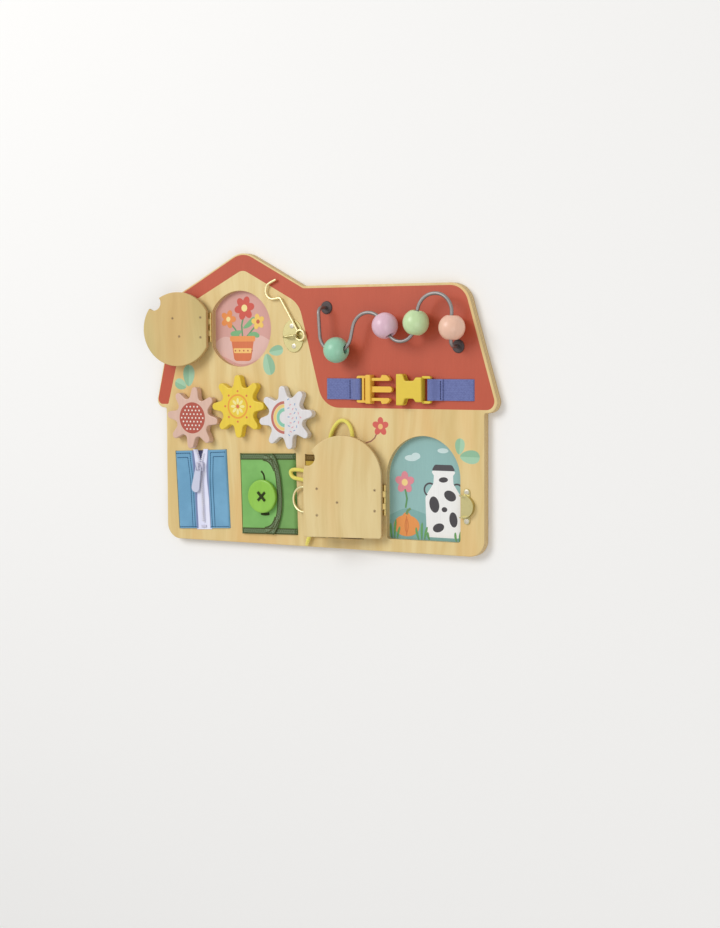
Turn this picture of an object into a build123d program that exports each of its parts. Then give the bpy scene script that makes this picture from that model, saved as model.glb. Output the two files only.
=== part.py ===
from build123d import *
import math
import os

# Busy board in the shape of a barn, lying on its back.
# Millimetres. +Z comes out of the play face, +X is right and +Y is up the board.
# The origin is the middle of the back face.

# ---------------------------------------------------------------- boards
BACK_THICKNESS = 3.0
FRONT_THICKNESS = 6.0
PLY_ROUND = 0.8
BACK_TOP = BACK_THICKNESS
FACE = BACK_THICKNESS + FRONT_THICKNESS
# Barn silhouette: corner, then the radius that rounds it.
OUTLINE = [
    ((-90.0, 152.6), 26.0),
    ((-17.8, 114.6), 3.0),
    ((166.8, 114.6), 22.0),
    ((204.0, -9.8), 10.5),
    ((186.8, -9.8), 2.0),
    ((186.8, -147.5), 16.0),
    ((-189.2, -147.5), 16.0),
    ((-189.2, -9.5), 2.0),
    ((-202.8, -9.5), 8.0),
    ((-175.6, 106.8), 8.0),
]

# ---------------------------------------------------------------- fits
RUNNING = 0.05
AIR = 0.3
DOOR_GAP = 0.6

# ---------------------------------------------------------------- doors
ROUND_CENTRE = (-94.6, 72.45)
ROUND_RADIUS = 38.9
ROUND_CHORD_X = -128.7
ROUND_TILT = 11.2
ARCH_LEFT, ARCH_RIGHT = 79.3, 161.2
ARCH_BOTTOM, ARCH_SPRING = -134.8, -73.75
ARCH_CORNER = 3.0
ARCH_TILT = 13.5
NOTCH_RADIUS = 8.0
ROUND_NOTCH_ANGLE = 46.0
ARCH_NOTCH_ANGLE = 26.5

# ---------------------------------------------------------------- hinges
HINGE_LENGTH = 30.0
HINGE_KNUCKLES = 5
HINGE_KNUCKLE_GAP = 0.25
HINGE_KNUCKLE_RADIUS = 1.5
HINGE_AXIS_HEIGHT = 1.8
HINGE_PIN_RADIUS = 0.7
HINGE_LEAF = 0.8
HINGE_LEAF_START = 1.5
HINGE_LEAF_END = 11.6
HINGE_SCREW_REACH = 8.2
HINGE_SCREW_PITCH = 20.4
HINGE_SETBACK = 1.0
ROUND_HINGE_Y = 74.1
ARCH_HINGE_Y = -96.8

# ---------------------------------------------------------------- screws
SCREW_SHANK = 1.2
SCREW_HEAD = 2.3
SCREW_PROUD = 0.2
SCREW_DEPTH = 5.0

# ---------------------------------------------------------------- hook and eye
WIRE = 1.2
PLATE_WIDTH, PLATE_LENGTH, PLATE_THICKNESS = 24.5, 32.8, 1.2
PLATE_SCREW_PITCH = 20.3
STAPLE_SPAN = 15.2
STAPLE_RISE = 8.3
STAPLE_BEND = 3.0
HOOK_PLATE_AT = (-28.5, 64.5)
HOOK_PLATE_TURN = 6.8
EYE_PLATE_AT = (-93.6, 74.3)
EYE_PLATE_TURN = -21.4
HOOK_RING = 5.0
HOOK_RING_REACH = 2.1
HOOK_LIFT = 3.0
HOOK_ROUTE = [(-42.6, 103.2), (-57.4, 101.1), (-61.6, 115.3), (-48.4, 121.2)]
HOOK_BENDS = [3.0, 8.3, 8.0]

# ---------------------------------------------------------------- draw latch
LATCH_Y = -99.4
LATCH_PIVOT_X = 150.0
LATCH_PIVOT_HEIGHT = 4.0
LATCH_BASE = 1.0
LATCH_SCREW_X, LATCH_SCREW_Y = 146.3, 13.15
LATCH_TAIL_X = 125.2
EAR_INNER, EAR_OUTER = 8.6, 9.4
LEVER_FLANGE_INNER, LEVER_FLANGE_OUTER = 9.7, 10.7
LEVER_LENGTH = 13.0
LEVER_TOP = 2.0
LEVER_SHEET = 1.0
LEVER_BELOW = 2.4
LATCH_PIN_RADIUS = 0.8
BAIL_CRANK = 8.5
BAIL_OVER_CENTRE = 5.0
BAIL_HALF_WIDTH = 12.55
BAIL_PEG_END = 9.75
BAIL_PEG_BEND = 1.3
BAIL_DROP = 7.5
LEVER_OPENING = 90.0 - ARCH_TILT
CATCH_CENTRE_X = 166.0
CATCH_RADIUS = 11.0
CATCH_WALL = 1.1
CATCH_RISE = 4.6
CATCH_BACK_X = 162.2
CATCH_EAR_Y = 14.0
CATCH_EAR_RADIUS = 3.3
CATCH_EAR_X = 168.5
BAIL_SEAT_HEIGHT = 2.8
BAIL_SEAT_CLEARANCE = 0.3

# ---------------------------------------------------------------- gears
GEAR_TEETH = 8
GEAR_CENTRES = 59.1
SUN_CENTRE = (-91.2, -6.8)
PINK_BEARING, WHITE_BEARING = 192.4, -10.2
SUN_PHASE, PINK_PHASE, WHITE_PHASE = 0.9, 39.2, 8.6
TOOTH_TIP_AT, TOOTH_TIP_RADIUS = 28.3, 3.8
VALLEY_FLOOR, VALLEY_RADIUS = 20.6, 4.6
GEAR_THICKNESS = 8.0
GEAR_ROUND = 0.9
WASHER_THICKNESS = 1.0
WASHER_RADIUS = 9.0
AXLE_RADIUS = 4.0
AXLE_DEPTH = 5.0
FLANGE_RADIUS, FLANGE_THICKNESS = 7.0, 1.6
COUNTERBORE_DEPTH = 2.2

# ---------------------------------------------------------------- bead maze
MAZE_WIRE = 1.75
MAZE_HEIGHT = 16.0
MAZE_RISER_BEND = 6.5
MAZE_START, MAZE_END = (11.2, 92.5), (159.3, 53.7)
MAZE_CORNERS = [
    ((14.0, 48.6), 17.9),
    ((45.4, 48.6), 17.9),
    ((61.0, 115.1), 18.0),
    ((112.0, 33.1), 15.4),
    ((126.7, 104.1), 19.0),
    ((161.3, 104.1), 17.6),
]
GROMMET_RADIUS, GROMMET_HEIGHT = 6.5, 1.7
GROMMET_BARREL = 4.0
PUSH_NUT_RADIUS, PUSH_NUT_THICKNESS = 4.6, 1.3
BEAD_RADIUS = 12.75
BEAD_HALF_LENGTH = 11.4
BEAD_BORE = 4.0
BEAD_MOUTH = 1.5
BEAD_SAG_STRAIGHT, BEAD_SAG_CURVE, BEAD_CURVE_SHIFT = 1.3, 0.5, 1.85
BEAD_ONE_ANGLE = -88.0
BEAD_TWO_AT, BEAD_THREE_AT, BEAD_FOUR_AT = (86.6, 73.9), (121.0, 76.5), (160.0, 71.5)

# ---------------------------------------------------------------- buckle
STRAP_Y = 12.0
STRAP_WIDTH = 20.6
STRAP_THICKNESS = 1.4
SLOT_WIDTH = 2.0
SLOT_SPARE = 1.0
STRAP_LEFT_X, STRAP_RIGHT_X = 12.0, 175.7
STRAP_LAP = 14.5
BUCKLE_LIFT = 0.3
BUCKLE_THICKNESS = 9.0
BUCKLE_ROUND = 1.2
BUCKLE_END_BAR = 2.6
BUCKLE_BAR_HEIGHT = 2.3
BUCKLE_BAR_LIFT = 2.2
MALE_START, MALE_SHOULDER, MALE_TIP = 49.0, 66.5, 89.4
MALE_WIDTH = 28.4
FRAME_HALF, FRAME_SLOT_HALF = 13.2, 10.9
PRONG_WIDTH, PRONG_THICKNESS = 5.7, 3.8
ARM_THICKNESS = 4.4
ARM_ROOT_Y, ARM_WIDTH = 8.4, 2.8
ARM_BARB_Y = 14.2
FEMALE_MOUTH, FEMALE_END = 95.2, 131.8
FEMALE_WIDTH, FEMALE_WAIST = 30.5, 17.3
FEMALE_WALL = 1.7
FEMALE_RING_END, FEMALE_BLOCK = 102.5, 117.0
BUCKLE_TRAVEL = 14.2

# ---------------------------------------------------------------- fabric panels
CLOTH = 1.0
CLOTH_SLOT = 1.8
ZIP_CENTRE, ZIP_SIZE, ZIP_TURN = (-142.9, -94.2), (65.3, 81.4), 2.9
ZIP_TAPE_HALF = 9.4
ZIP_CLOTH = 1.4
ZIP_TAPE = 0.9
ZIP_V_HALF, ZIP_V_DEPTH = 3.4, 12.0
ZIP_TOOTH_PITCH = 2.2
ZIP_TOOTH = (2.3, 1.2, 1.3)
ZIP_SLIDER_V = 23.9
ZIP_SLIDER_HALF, ZIP_SLIDER_LENGTH = 4.6, 9.6
ZIP_SLIDER_WALL = 1.3
ZIP_SLIDER_ROOF = 12.0
ZIP_BOTTOM_V = -38.6
ZIP_STOP_HEIGHT = 1.1
PULLER_LENGTH, PULLER_WIDTH, PULLER_TURN, PULLER_DROOP = 28.0, 10.0, 17.0, 5.0
PULLER_THICKNESS = 1.4
PULLER_BAR = 0.6
PULLER_WINDOW_HALF, PULLER_RAIL = 2.3, 1.0
BRIDGE_HALF, BRIDGE_LEG, BRIDGE_CLEAR, BRIDGE_WIDTH = 3.6, 1.0, 2.6, 1.6
FLAP_CENTRE, FLAP_SIZE, FLAP_TURN = (-59.9, -95.8), (67.8, 82.4), 1.5
FLAP_THICKNESS = 1.2
FLAP_EDGE = [((9.0, 1.0), 14.0), ((18.8, 0.291), 30.0), ((18.4, -0.534), 30.0), ((9.0, -1.0), 12.0)]
BUTTON_AT = (-64.3, -98.2)
BUTTON_RADIUS, BUTTON_THICKNESS = 17.0, 5.0
BUTTON_HOLE_AT, BUTTON_HOLE_RADIUS = 3.4, 1.1
BUTTON_LIFT = 0.4
THREAD_RADIUS = 0.8
BUTTONHOLE_LENGTH, BUTTONHOLE_WIDTH = 42.0, 2.6
LACE_CENTRE, LACE_SIZE, LACE_TURN = (18.5, -95.5), (67.0, 83.0), 0.5
LACE_FLAP_INNER, LACE_FLAP_TOP, LACE_FLAP_CURVE = 16.0, 8.0, 17.0

# ---------------------------------------------------------------- lace
LACE_RADIUS = 2.0
KNOT_AT = (19.0, -83.4, 13.6)
KNOT_SIZE = (9.6, 9.2, 6.6)
KNOT_ROUND = 2.4
LOOP_LEFT = [
    (15.6, -85.7, 13.4), (6.6, -83.4, 13.3), (-6.0, -81.2, 13.6), (-18.0, -79.3, 13.2),
    (-29.2, -78.0, 12.6), (-31.6, -70.2, 12.6), (-20.0, -69.4, 13.0), (-6.0, -72.4, 13.6),
    (5.0, -76.4, 13.3), (15.6, -81.2, 12.4),
]
LOOP_UP = [
    (17.0, -80.2, 14.6), (15.6, -71.0, 13.4), (14.0, -58.0, 12.6), (14.6, -43.0, 12.2),
    (18.6, -28.4, 11.6), (27.6, -18.2, 11.6), (37.4, -20.8, 11.6), (42.8, -32.0, 12.2),
    (41.0, -46.0, 13.2), (35.6, -59.0, 13.6), (28.2, -71.0, 13.4), (21.4, -80.2, 13.6),
]
TAIL_LEFT = [
    (17.0, -86.8, 13.4), (20.4, -97.0, 12.6), (20.0, -108.6, 12.6), (11.4, -117.2, 12.8),
    (1.0, -121.4, 13.6), (-6.0, -130.4, 13.4), (-10.8, -141.6, 12.4),
]
TAIL_RIGHT = [
    (21.6, -84.4, 13.4), (29.8, -94.2, 12.9), (34.6, -105.0, 13.2), (40.2, -115.6, 13.6),
    (40.4, -128.0, 13.6),
]


# ---------------------------------------------------------------- helpers
def block(x0, x1, y0, y1, z0, z1):
    """A box from its six faces."""
    return Pos((x0 + x1) / 2, (y0 + y1) / 2, (z0 + z1) / 2) * Box(x1 - x0, y1 - y0, z1 - z0)


def rod(x, y, z0, z1, radius):
    """An upright cylinder from z0 to z1."""
    return Pos(x, y, (z0 + z1) / 2) * Cylinder(radius, z1 - z0)


def polar(centre, radius, degrees):
    """The point at a radius and bearing from a centre."""
    turn = math.radians(degrees)
    return centre[0] + radius * math.cos(turn), centre[1] + radius * math.sin(turn)


def rounded_face(corners, radii):
    """A face with each corner rounded by its own radius."""
    return make_face(FilletPolyline(*corners, radius=radii, close=True))


def prism(face, z0, z1):
    """A flat face raised from z0 to z1."""
    return extrude(Pos(0, 0, z0) * face, z1 - z0)


def top_edges(solid):
    """The edges round the highest flat face."""
    return solid.faces().sort_by(Axis.Z)[-1].edges()


def bottom_edges(solid):
    """The edges round the lowest flat face."""
    return solid.faces().sort_by(Axis.Z)[0].edges()


def placed(centre, turn):
    """The place of a panel turned about its own middle."""
    return Pos(centre[0], centre[1], 0) * Rot(0, 0, turn)


def tube(points, radii, radius):
    """A round wire along straight runs joined by tangent arcs."""
    path = FilletPolyline(*points, radius=radii)
    start = path % 0
    section = Plane(origin=path @ 0, z_dir=start) * Circle(radius)
    return sweep(section, path=path)


def cord_radii(points):
    """Bend radii of a free cord: as large as the two runs at each corner allow."""
    radii = []
    for before, here, after in zip(points, points[1:], points[2:]):
        first = Vector(*here) - Vector(*before)
        second = Vector(*after) - Vector(*here)
        half_turn = math.radians(first.get_angle(second)) / 2
        radii.append(0.45 * min(first.length, second.length) / math.tan(half_turn))
    return radii


def screw(x, y, seat, head, depth):
    """A flat-headed wood screw whose head stands a little proud of its plate."""
    shank = rod(x, y, seat - depth, seat, SCREW_SHANK)
    cap = rod(x, y, seat, seat + head + SCREW_PROUD, SCREW_HEAD)
    return shank + fillet(top_edges(cap), SCREW_PROUD)


def screw_bore(x, y, seat, depth):
    """The pilot hole that a screw's shank fills."""
    return rod(x, y, seat - depth, seat, SCREW_SHANK)


def save(name, *solids):
    """Write one node; several solids stay separate in it."""
    shape = solids[0] if len(solids) == 1 else Compound(children=list(solids))
    export_step(shape, f"parts/{name}.step")


# ---------------------------------------------------------------- door openings
def round_face(inset):
    """The round opening with its flat hinge side, made smaller by inset."""
    disc = Pos(*ROUND_CENTRE) * Circle(ROUND_RADIUS - inset)
    hinge_side = ROUND_CHORD_X + inset
    beyond = 2 * ROUND_RADIUS
    keep = Pos(hinge_side + beyond / 2, ROUND_CENTRE[1]) * Rectangle(beyond, beyond)
    return disc & keep


def arch_face(inset):
    """The arched opening, made smaller by inset."""
    left, right = ARCH_LEFT + inset, ARCH_RIGHT - inset
    half = (right - left) / 2
    crown = ARCH_SPRING + half
    corners = [(left, ARCH_BOTTOM + inset), (right, ARCH_BOTTOM + inset), (right, crown), (left, crown)]
    arc = half * 0.999
    return rounded_face(corners, [ARCH_CORNER, ARCH_CORNER, arc, arc])


def door_leaf(face, notch):
    """A loose-fitting door with softened edges and a finger notch in its rim."""
    leaf = prism(face, BACK_TOP + AIR, FACE)
    leaf -= rod(*notch, 0, 2 * FACE, NOTCH_RADIUS)
    return fillet(top_edges(leaf) + bottom_edges(leaf), PLY_ROUND)


def round_axis_x():
    return ROUND_CHORD_X - HINGE_SETBACK


def arch_axis_x():
    return ARCH_LEFT - HINGE_SETBACK


def swung(solid, axis_x, tilt):
    """A piece of a shut door, carried round to the door's open rest."""
    axis = Pos(axis_x, 0, FACE + HINGE_AXIS_HEIGHT)
    return axis * Rot(0, -(180 - tilt), 0) * axis.inverse() * solid


# ---------------------------------------------------------------- hinges
def hinge_screw_spots(axis_x, y, side):
    """Where one leaf's two screws go; side is -1 on the board and +1 on the door."""
    x = axis_x + side * HINGE_SCREW_REACH
    return [(x, y - HINGE_SCREW_PITCH / 2), (x, y + HINGE_SCREW_PITCH / 2)]


def hinge_leaf(axis_x, y, side):
    """One leaf with its share of the knuckles, in the shut position."""
    pitch = HINGE_LENGTH / HINGE_KNUCKLES
    axis_z = FACE + HINGE_AXIS_HEIGHT
    low = y - HINGE_LENGTH / 2
    reach = HINGE_LEAF_END - HINGE_LEAF_START
    middle = (HINGE_LEAF_START + HINGE_LEAF_END) / 2
    sheet = Pos(middle, y) * Rectangle(reach, HINGE_LENGTH)
    leaf = prism(sheet, FACE, FACE + HINGE_LEAF)
    leaf = fillet(leaf.edges().filter_by(Axis.Z).sort_by(Axis.X)[-2:], 2.0)
    own = range(0, HINGE_KNUCKLES, 2) if side < 0 else range(1, HINGE_KNUCKLES, 2)
    for index in own:
        start = low + index * pitch + HINGE_KNUCKLE_GAP / 2
        length = pitch - HINGE_KNUCKLE_GAP
        middle_y = start + length / 2
        knuckle = Pos(0, middle_y, axis_z) * Rot(90, 0, 0) * Cylinder(HINGE_KNUCKLE_RADIUS, length)
        under = axis_z - HINGE_KNUCKLE_RADIUS
        wrap = Polyline(
            (0, under), (HINGE_LEAF_START, FACE), (HINGE_LEAF_START, FACE + HINGE_LEAF),
            (0, under + HINGE_KNUCKLE_RADIUS), close=True)
        web = extrude(Plane.XZ.offset(-start) * make_face(wrap), -length)
        leaf += knuckle + web
    leaf -= Pos(0, y, axis_z) * Rot(90, 0, 0) * Cylinder(HINGE_PIN_RADIUS + RUNNING, 2 * HINGE_LENGTH)
    leaf = Pos(axis_x, 0, 0) * (leaf if side > 0 else mirror(leaf, Plane.YZ))
    for spot in hinge_screw_spots(axis_x, y, side):
        leaf -= rod(*spot, FACE, FACE + 2 * HINGE_LEAF, SCREW_HEAD)
    return leaf


def hinge_pin(axis_x, y):
    """The pin, a little longer than the knuckles, with eased ends."""
    pin = Pos(axis_x, y, FACE + HINGE_AXIS_HEIGHT) * Rot(90, 0, 0) * Cylinder(
        HINGE_PIN_RADIUS, HINGE_LENGTH + 2 * AIR)
    return chamfer(pin.edges().filter_by(GeomType.CIRCLE), 0.2)


# ---------------------------------------------------------------- hook and eye
def plate_screw_spots(centre, turn):
    return [polar(centre, PLATE_SCREW_PITCH / 2, turn + side) for side in (90, -90)]


def staple_plate(centre, turn):
    """An oval plate that carries a square-shouldered wire staple."""
    oval = Ellipse(PLATE_WIDTH / 2, PLATE_LENGTH / 2)
    plate = prism(oval, 0, PLATE_THICKNESS)
    plate = fillet(top_edges(plate), PLATE_THICKNESS / 3)
    half = STAPLE_SPAN / 2
    legs = [(-half, 0, PLATE_THICKNESS / 2), (-half, 0, STAPLE_RISE),
            (half, 0, STAPLE_RISE), (half, 0, PLATE_THICKNESS / 2)]
    plate += tube(legs, [STAPLE_BEND, STAPLE_BEND], WIRE)
    for x, y in plate_screw_spots((0, 0), 0):
        plate -= rod(x, y, 0, PLATE_THICKNESS, SCREW_HEAD)
    return Pos(0, 0, FACE) * placed(centre, turn) * plate


def hook_centre():
    """The hook's ring hangs round the staple's right-hand leg."""
    leg = polar(HOOK_PLATE_AT, STAPLE_SPAN / 2, HOOK_PLATE_TURN)
    return leg[0] + HOOK_RING_REACH, leg[1]


def wire_hook():
    """Ring, shank and the bent-back end of the hook."""
    level = FACE + HOOK_LIFT
    x, y = hook_centre()
    first = HOOK_ROUTE[0]
    bearing = math.degrees(math.atan2(first[1] - y, first[0] - x))
    start = polar((x, y), HOOK_RING, bearing)
    points = [(px, py, level) for px, py in [start, *HOOK_ROUTE]]
    ring = Pos(x, y, level) * Torus(HOOK_RING, WIRE)
    tip = Pos(*points[-1]) * Sphere(WIRE)
    return ring + tube(points, HOOK_BENDS, WIRE) + tip


# ---------------------------------------------------------------- draw latch
def latch_point(degrees, reach):
    """A point on the lever, in the shut door's x and height, from the pivot."""
    turn = math.radians(degrees)
    return (LATCH_PIVOT_X + reach * math.cos(turn), LATCH_PIVOT_HEIGHT + reach * math.sin(turn))


def bail_length():
    """From the bail's pegs to the middle of its end wire, so that it seats on the catch."""
    peg = latch_point(180 + BAIL_OVER_CENTRE, BAIL_CRANK)
    seat_x = CATCH_CENTRE_X + CATCH_RADIUS + BAIL_SEAT_CLEARANCE + WIRE
    return math.hypot(seat_x - peg[0], BAIL_SEAT_HEIGHT - peg[1])


def latch_screw_spots():
    return [(LATCH_SCREW_X, LATCH_Y + LATCH_SCREW_Y), (LATCH_SCREW_X, LATCH_Y - LATCH_SCREW_Y),
            (LATCH_TAIL_X, LATCH_Y)]


def latch_base():
    """Sheet base with two ears for the lever's pin."""
    wide, tail = 16.6, 4.4
    corners = [
        (LATCH_TAIL_X - tail, LATCH_Y - tail), (LATCH_PIVOT_X - 11, LATCH_Y - wide),
        (LATCH_PIVOT_X + 3.4, LATCH_Y - wide), (LATCH_PIVOT_X + 3.4, LATCH_Y + wide),
        (LATCH_PIVOT_X - 11, LATCH_Y + wide), (LATCH_TAIL_X - tail, LATCH_Y + tail),
    ]
    base = prism(rounded_face(corners, [3.0, 4.0, 3.0, 3.0, 4.0, 3.0]), FACE, FACE + LATCH_BASE)
    pivot_z = FACE + LATCH_PIVOT_HEIGHT
    for side in (-1, 1):
        inner, outer = sorted((LATCH_Y + side * EAR_INNER, LATCH_Y + side * EAR_OUTER))
        ear = block(LATCH_PIVOT_X - 2, LATCH_PIVOT_X + 2, inner, outer, FACE, pivot_z)
        crown = Pos(LATCH_PIVOT_X, (inner + outer) / 2, pivot_z) * Rot(90, 0, 0) * Cylinder(2, outer - inner)
        base += ear + crown
    base -= Pos(LATCH_PIVOT_X, LATCH_Y, pivot_z) * Rot(90, 0, 0) * Cylinder(LATCH_PIN_RADIUS, 40)
    for spot in latch_screw_spots():
        base -= rod(*spot, FACE, FACE + 2 * LATCH_BASE, SCREW_HEAD)
    return base


def latch_lever():
    """Channel-shaped lever, lying shut along the base."""
    pivot_z = FACE + LATCH_PIVOT_HEIGHT
    side_view = Pos(LATCH_PIVOT_X, pivot_z) * make_face(
        FilletPolyline(
            (-LEVER_LENGTH, LEVER_TOP), (LEVER_BELOW, LEVER_TOP), (LEVER_BELOW, -LEVER_BELOW),
            (-LEVER_LENGTH + 2.6, -LEVER_BELOW), radius=[0.4, 1.6, 2.2, 1.8], close=True))
    lever = extrude(Plane.XZ.offset(-(LATCH_Y - LEVER_FLANGE_OUTER)) * side_view, -2 * LEVER_FLANGE_OUTER)
    lever -= block(LATCH_PIVOT_X - 2 * LEVER_LENGTH, LATCH_PIVOT_X + LEVER_LENGTH,
                   LATCH_Y - LEVER_FLANGE_INNER, LATCH_Y + LEVER_FLANGE_INNER, FACE, 3 * FACE)
    plate = block(LATCH_PIVOT_X - LEVER_LENGTH, LATCH_PIVOT_X - LEVER_BELOW,
                  LATCH_Y - LEVER_FLANGE_OUTER, LATCH_Y + LEVER_FLANGE_OUTER,
                  pivot_z + LEVER_TOP, pivot_z + LEVER_TOP + LEVER_SHEET)
    lever += fillet(plate.edges().filter_by(Axis.Z).sort_by(Axis.X)[:2], 4.0)
    bore = LATCH_PIN_RADIUS + RUNNING
    lever -= Pos(LATCH_PIVOT_X, LATCH_Y, pivot_z) * Rot(90, 0, 0) * Cylinder(bore, 40)
    peg_x, peg_h = latch_point(180 + BAIL_OVER_CENTRE, BAIL_CRANK)
    lever -= Pos(peg_x, LATCH_Y, FACE + peg_h) * Rot(90, 0, 0) * Cylinder(WIRE + RUNNING, 40)
    return lever


def latch_pin():
    pin = Pos(LATCH_PIVOT_X, LATCH_Y, FACE + LATCH_PIVOT_HEIGHT) * Rot(90, 0, 0) * Cylinder(
        LATCH_PIN_RADIUS, 2 * LEVER_FLANGE_OUTER + AIR)
    return chamfer(pin.edges().filter_by(GeomType.CIRCLE), 0.15)


def lever_opened(solid):
    """A piece on the shut lever, turned to the lever's open rest."""
    pivot = Pos(LATCH_PIVOT_X, 0, FACE + LATCH_PIVOT_HEIGHT)
    return pivot * Rot(0, LEVER_OPENING, 0) * pivot.inverse() * solid


def bail():
    """The wire loop from its pegs, drawn along +X from the peg line."""
    reach = bail_length()
    points = [(0, -BAIL_PEG_END, 0), (0, -BAIL_HALF_WIDTH, 0), (reach, -BAIL_HALF_WIDTH, 0),
              (reach, BAIL_HALF_WIDTH, 0), (0, BAIL_HALF_WIDTH, 0), (0, BAIL_PEG_END, 0)]
    bend = BAIL_HALF_WIDTH * 0.997
    return tube(points, [BAIL_PEG_BEND, bend, bend, BAIL_PEG_BEND], WIRE)


def bail_rest_angle():
    """The bail's direction on the shut door while the lever stands open, in degrees."""
    return BAIL_DROP + ARCH_TILT


def placed_bail():
    """The bail on the open lever, in the shut door's place."""
    peg_x, peg_h = latch_point(180 + BAIL_OVER_CENTRE - LEVER_OPENING, BAIL_CRANK)
    return Pos(peg_x, LATCH_Y, FACE + peg_h) * Rot(0, -bail_rest_angle(), 0) * bail()


def catch_screw_spots():
    return [(CATCH_EAR_X, LATCH_Y + side * CATCH_EAR_Y) for side in (-1, 1)]


def catch():
    """Half-round keeper: a flat plate with a curved wall that the bail drops behind."""
    def half_round(radius, back):
        disc = Pos(CATCH_CENTRE_X, LATCH_Y) * Circle(radius)
        width = CATCH_CENTRE_X - back
        straight = Pos(CATCH_CENTRE_X - width / 2, LATCH_Y) * Rectangle(width, 2 * radius)
        keep = Pos(back + radius, LATCH_Y) * Rectangle(2 * radius, 2 * radius)
        return (disc + straight) & keep

    ears = Pos(CATCH_EAR_X, LATCH_Y) * SlotCenterToCenter(2 * CATCH_EAR_Y, 2 * CATCH_EAR_RADIUS, rotation=90)
    plate = prism(half_round(CATCH_RADIUS, CATCH_BACK_X) + ears, FACE, FACE + LATCH_BASE)
    wall_face = half_round(CATCH_RADIUS, CATCH_BACK_X) - half_round(CATCH_RADIUS - CATCH_WALL, CATCH_BACK_X - 1)
    plate += prism(wall_face, FACE, FACE + CATCH_RISE)
    for spot in catch_screw_spots():
        plate -= rod(*spot, FACE, FACE + 2 * LATCH_BASE, SCREW_HEAD)
    return plate


# ---------------------------------------------------------------- gears
def gear_face():
    """Eight finger-shaped teeth: a tip arc, a straight flank and a valley arc each."""
    tip = (TOOTH_TIP_AT, 0)
    half_pitch = 180 / GEAR_TEETH
    valley = polar((0, 0), VALLEY_FLOOR + VALLEY_RADIUS, half_pitch)
    across = math.dist(tip, valley)
    lean = run_bearing(tip, valley) - math.degrees(math.acos((TOOTH_TIP_RADIUS + VALLEY_RADIUS) / across))
    flank_top = polar(tip, TOOTH_TIP_RADIUS, lean)
    flank_foot = polar(valley, VALLEY_RADIUS, lean + 180)
    floor = polar((0, 0), VALLEY_FLOOR, half_pitch)
    between = polar(valley, VALLEY_RADIUS, (lean + 180 + 180 + half_pitch) / 2)
    edges = []
    for tooth in range(GEAR_TEETH):
        turn = Rot(0, 0, tooth * 360 / GEAR_TEETH)
        for flip in (1, -1):
            def at(point):
                return (point[0], flip * point[1])
            half = [
                ThreePointArc(at(polar(tip, TOOTH_TIP_RADIUS, 0)), at(polar(tip, TOOTH_TIP_RADIUS, lean / 2)),
                              at(flank_top)),
                Line(at(flank_top), at(flank_foot)),
                ThreePointArc(at(flank_foot), at(between), at(floor)),
            ]
            edges += [turn * edge for edge in half]
    return make_face(Wire(edges))


def gear_bottom():
    return FACE + WASHER_THICKNESS + AIR


def gear(centre, phase):
    """A wooden gear with rounded faces and a blind bore for its axle."""
    low = gear_bottom()
    body = prism(gear_face(), low, low + GEAR_THICKNESS)
    body = fillet(top_edges(body) + bottom_edges(body), GEAR_ROUND)
    body -= rod(0, 0, low, low + AXLE_DEPTH, AXLE_RADIUS)
    return placed(centre, phase) * body


def gear_axle(centre):
    """A peg glued in the gear, held behind the front board by its flange."""
    peg = rod(*centre, BACK_TOP + AIR, gear_bottom() + AXLE_DEPTH, AXLE_RADIUS)
    return peg + rod(*centre, BACK_TOP + AIR, BACK_TOP + AIR + FLANGE_THICKNESS, FLANGE_RADIUS)


def gear_washer(centre):
    return rod(*centre, FACE, FACE + WASHER_THICKNESS, WASHER_RADIUS) - rod(
        *centre, FACE, FACE + WASHER_THICKNESS, AXLE_RADIUS + AIR)


def gear_centres():
    return {
        "pink": polar(SUN_CENTRE, GEAR_CENTRES, PINK_BEARING),
        "sun": SUN_CENTRE,
        "white": polar(SUN_CENTRE, GEAR_CENTRES, WHITE_BEARING),
    }


# ---------------------------------------------------------------- bead maze
def maze_level():
    return FACE + MAZE_HEIGHT


def maze_wire():
    """The bent wire, from its end behind the board to the other."""
    low = BACK_TOP + AIR
    points = [(*MAZE_START, low), (*MAZE_START, maze_level())]
    points += [(*corner, maze_level()) for corner, _ in MAZE_CORNERS]
    points += [(*MAZE_END, maze_level()), (*MAZE_END, low)]
    radii = [MAZE_RISER_BEND] + [radius for _, radius in MAZE_CORNERS] + [MAZE_RISER_BEND]
    return tube(points, radii, MAZE_WIRE)


def grommet(centre):
    """A rounded ring on the board with a barrel down its hole."""
    ring = rod(*centre, FACE, FACE + GROMMET_HEIGHT, GROMMET_RADIUS)
    ring = fillet(top_edges(ring), GROMMET_HEIGHT * 0.8)
    barrel = rod(*centre, BACK_TOP + COUNTERBORE_DEPTH, FACE, GROMMET_BARREL)
    return ring + barrel - rod(*centre, 0, 2 * FACE, MAZE_WIRE + RUNNING)


def push_nut(centre):
    low = BACK_TOP + AIR
    return rod(*centre, low, low + PUSH_NUT_THICKNESS, PUSH_NUT_RADIUS) - rod(
        *centre, low, low + PUSH_NUT_THICKNESS, MAZE_WIRE)


def bead(centre, bearing, sag):
    """A turned bead whose bore points along a bearing and hangs on the wire."""
    ball = Sphere(BEAD_RADIUS) & Rot(0, 90, 0) * Cylinder(BEAD_RADIUS, 2 * BEAD_HALF_LENGTH)
    ball -= Rot(0, 90, 0) * Cylinder(BEAD_BORE, 4 * BEAD_RADIUS)
    mouths = ball.edges().filter_by(GeomType.CIRCLE).filter_by(lambda e: abs(e.radius - BEAD_BORE) < 0.01)
    ball = fillet(mouths, BEAD_MOUTH)
    return Pos(*centre, maze_level() - sag) * Rot(0, 0, bearing) * ball


def run_bearing(first, second):
    return math.degrees(math.atan2(second[1] - first[1], second[0] - first[0]))


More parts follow.
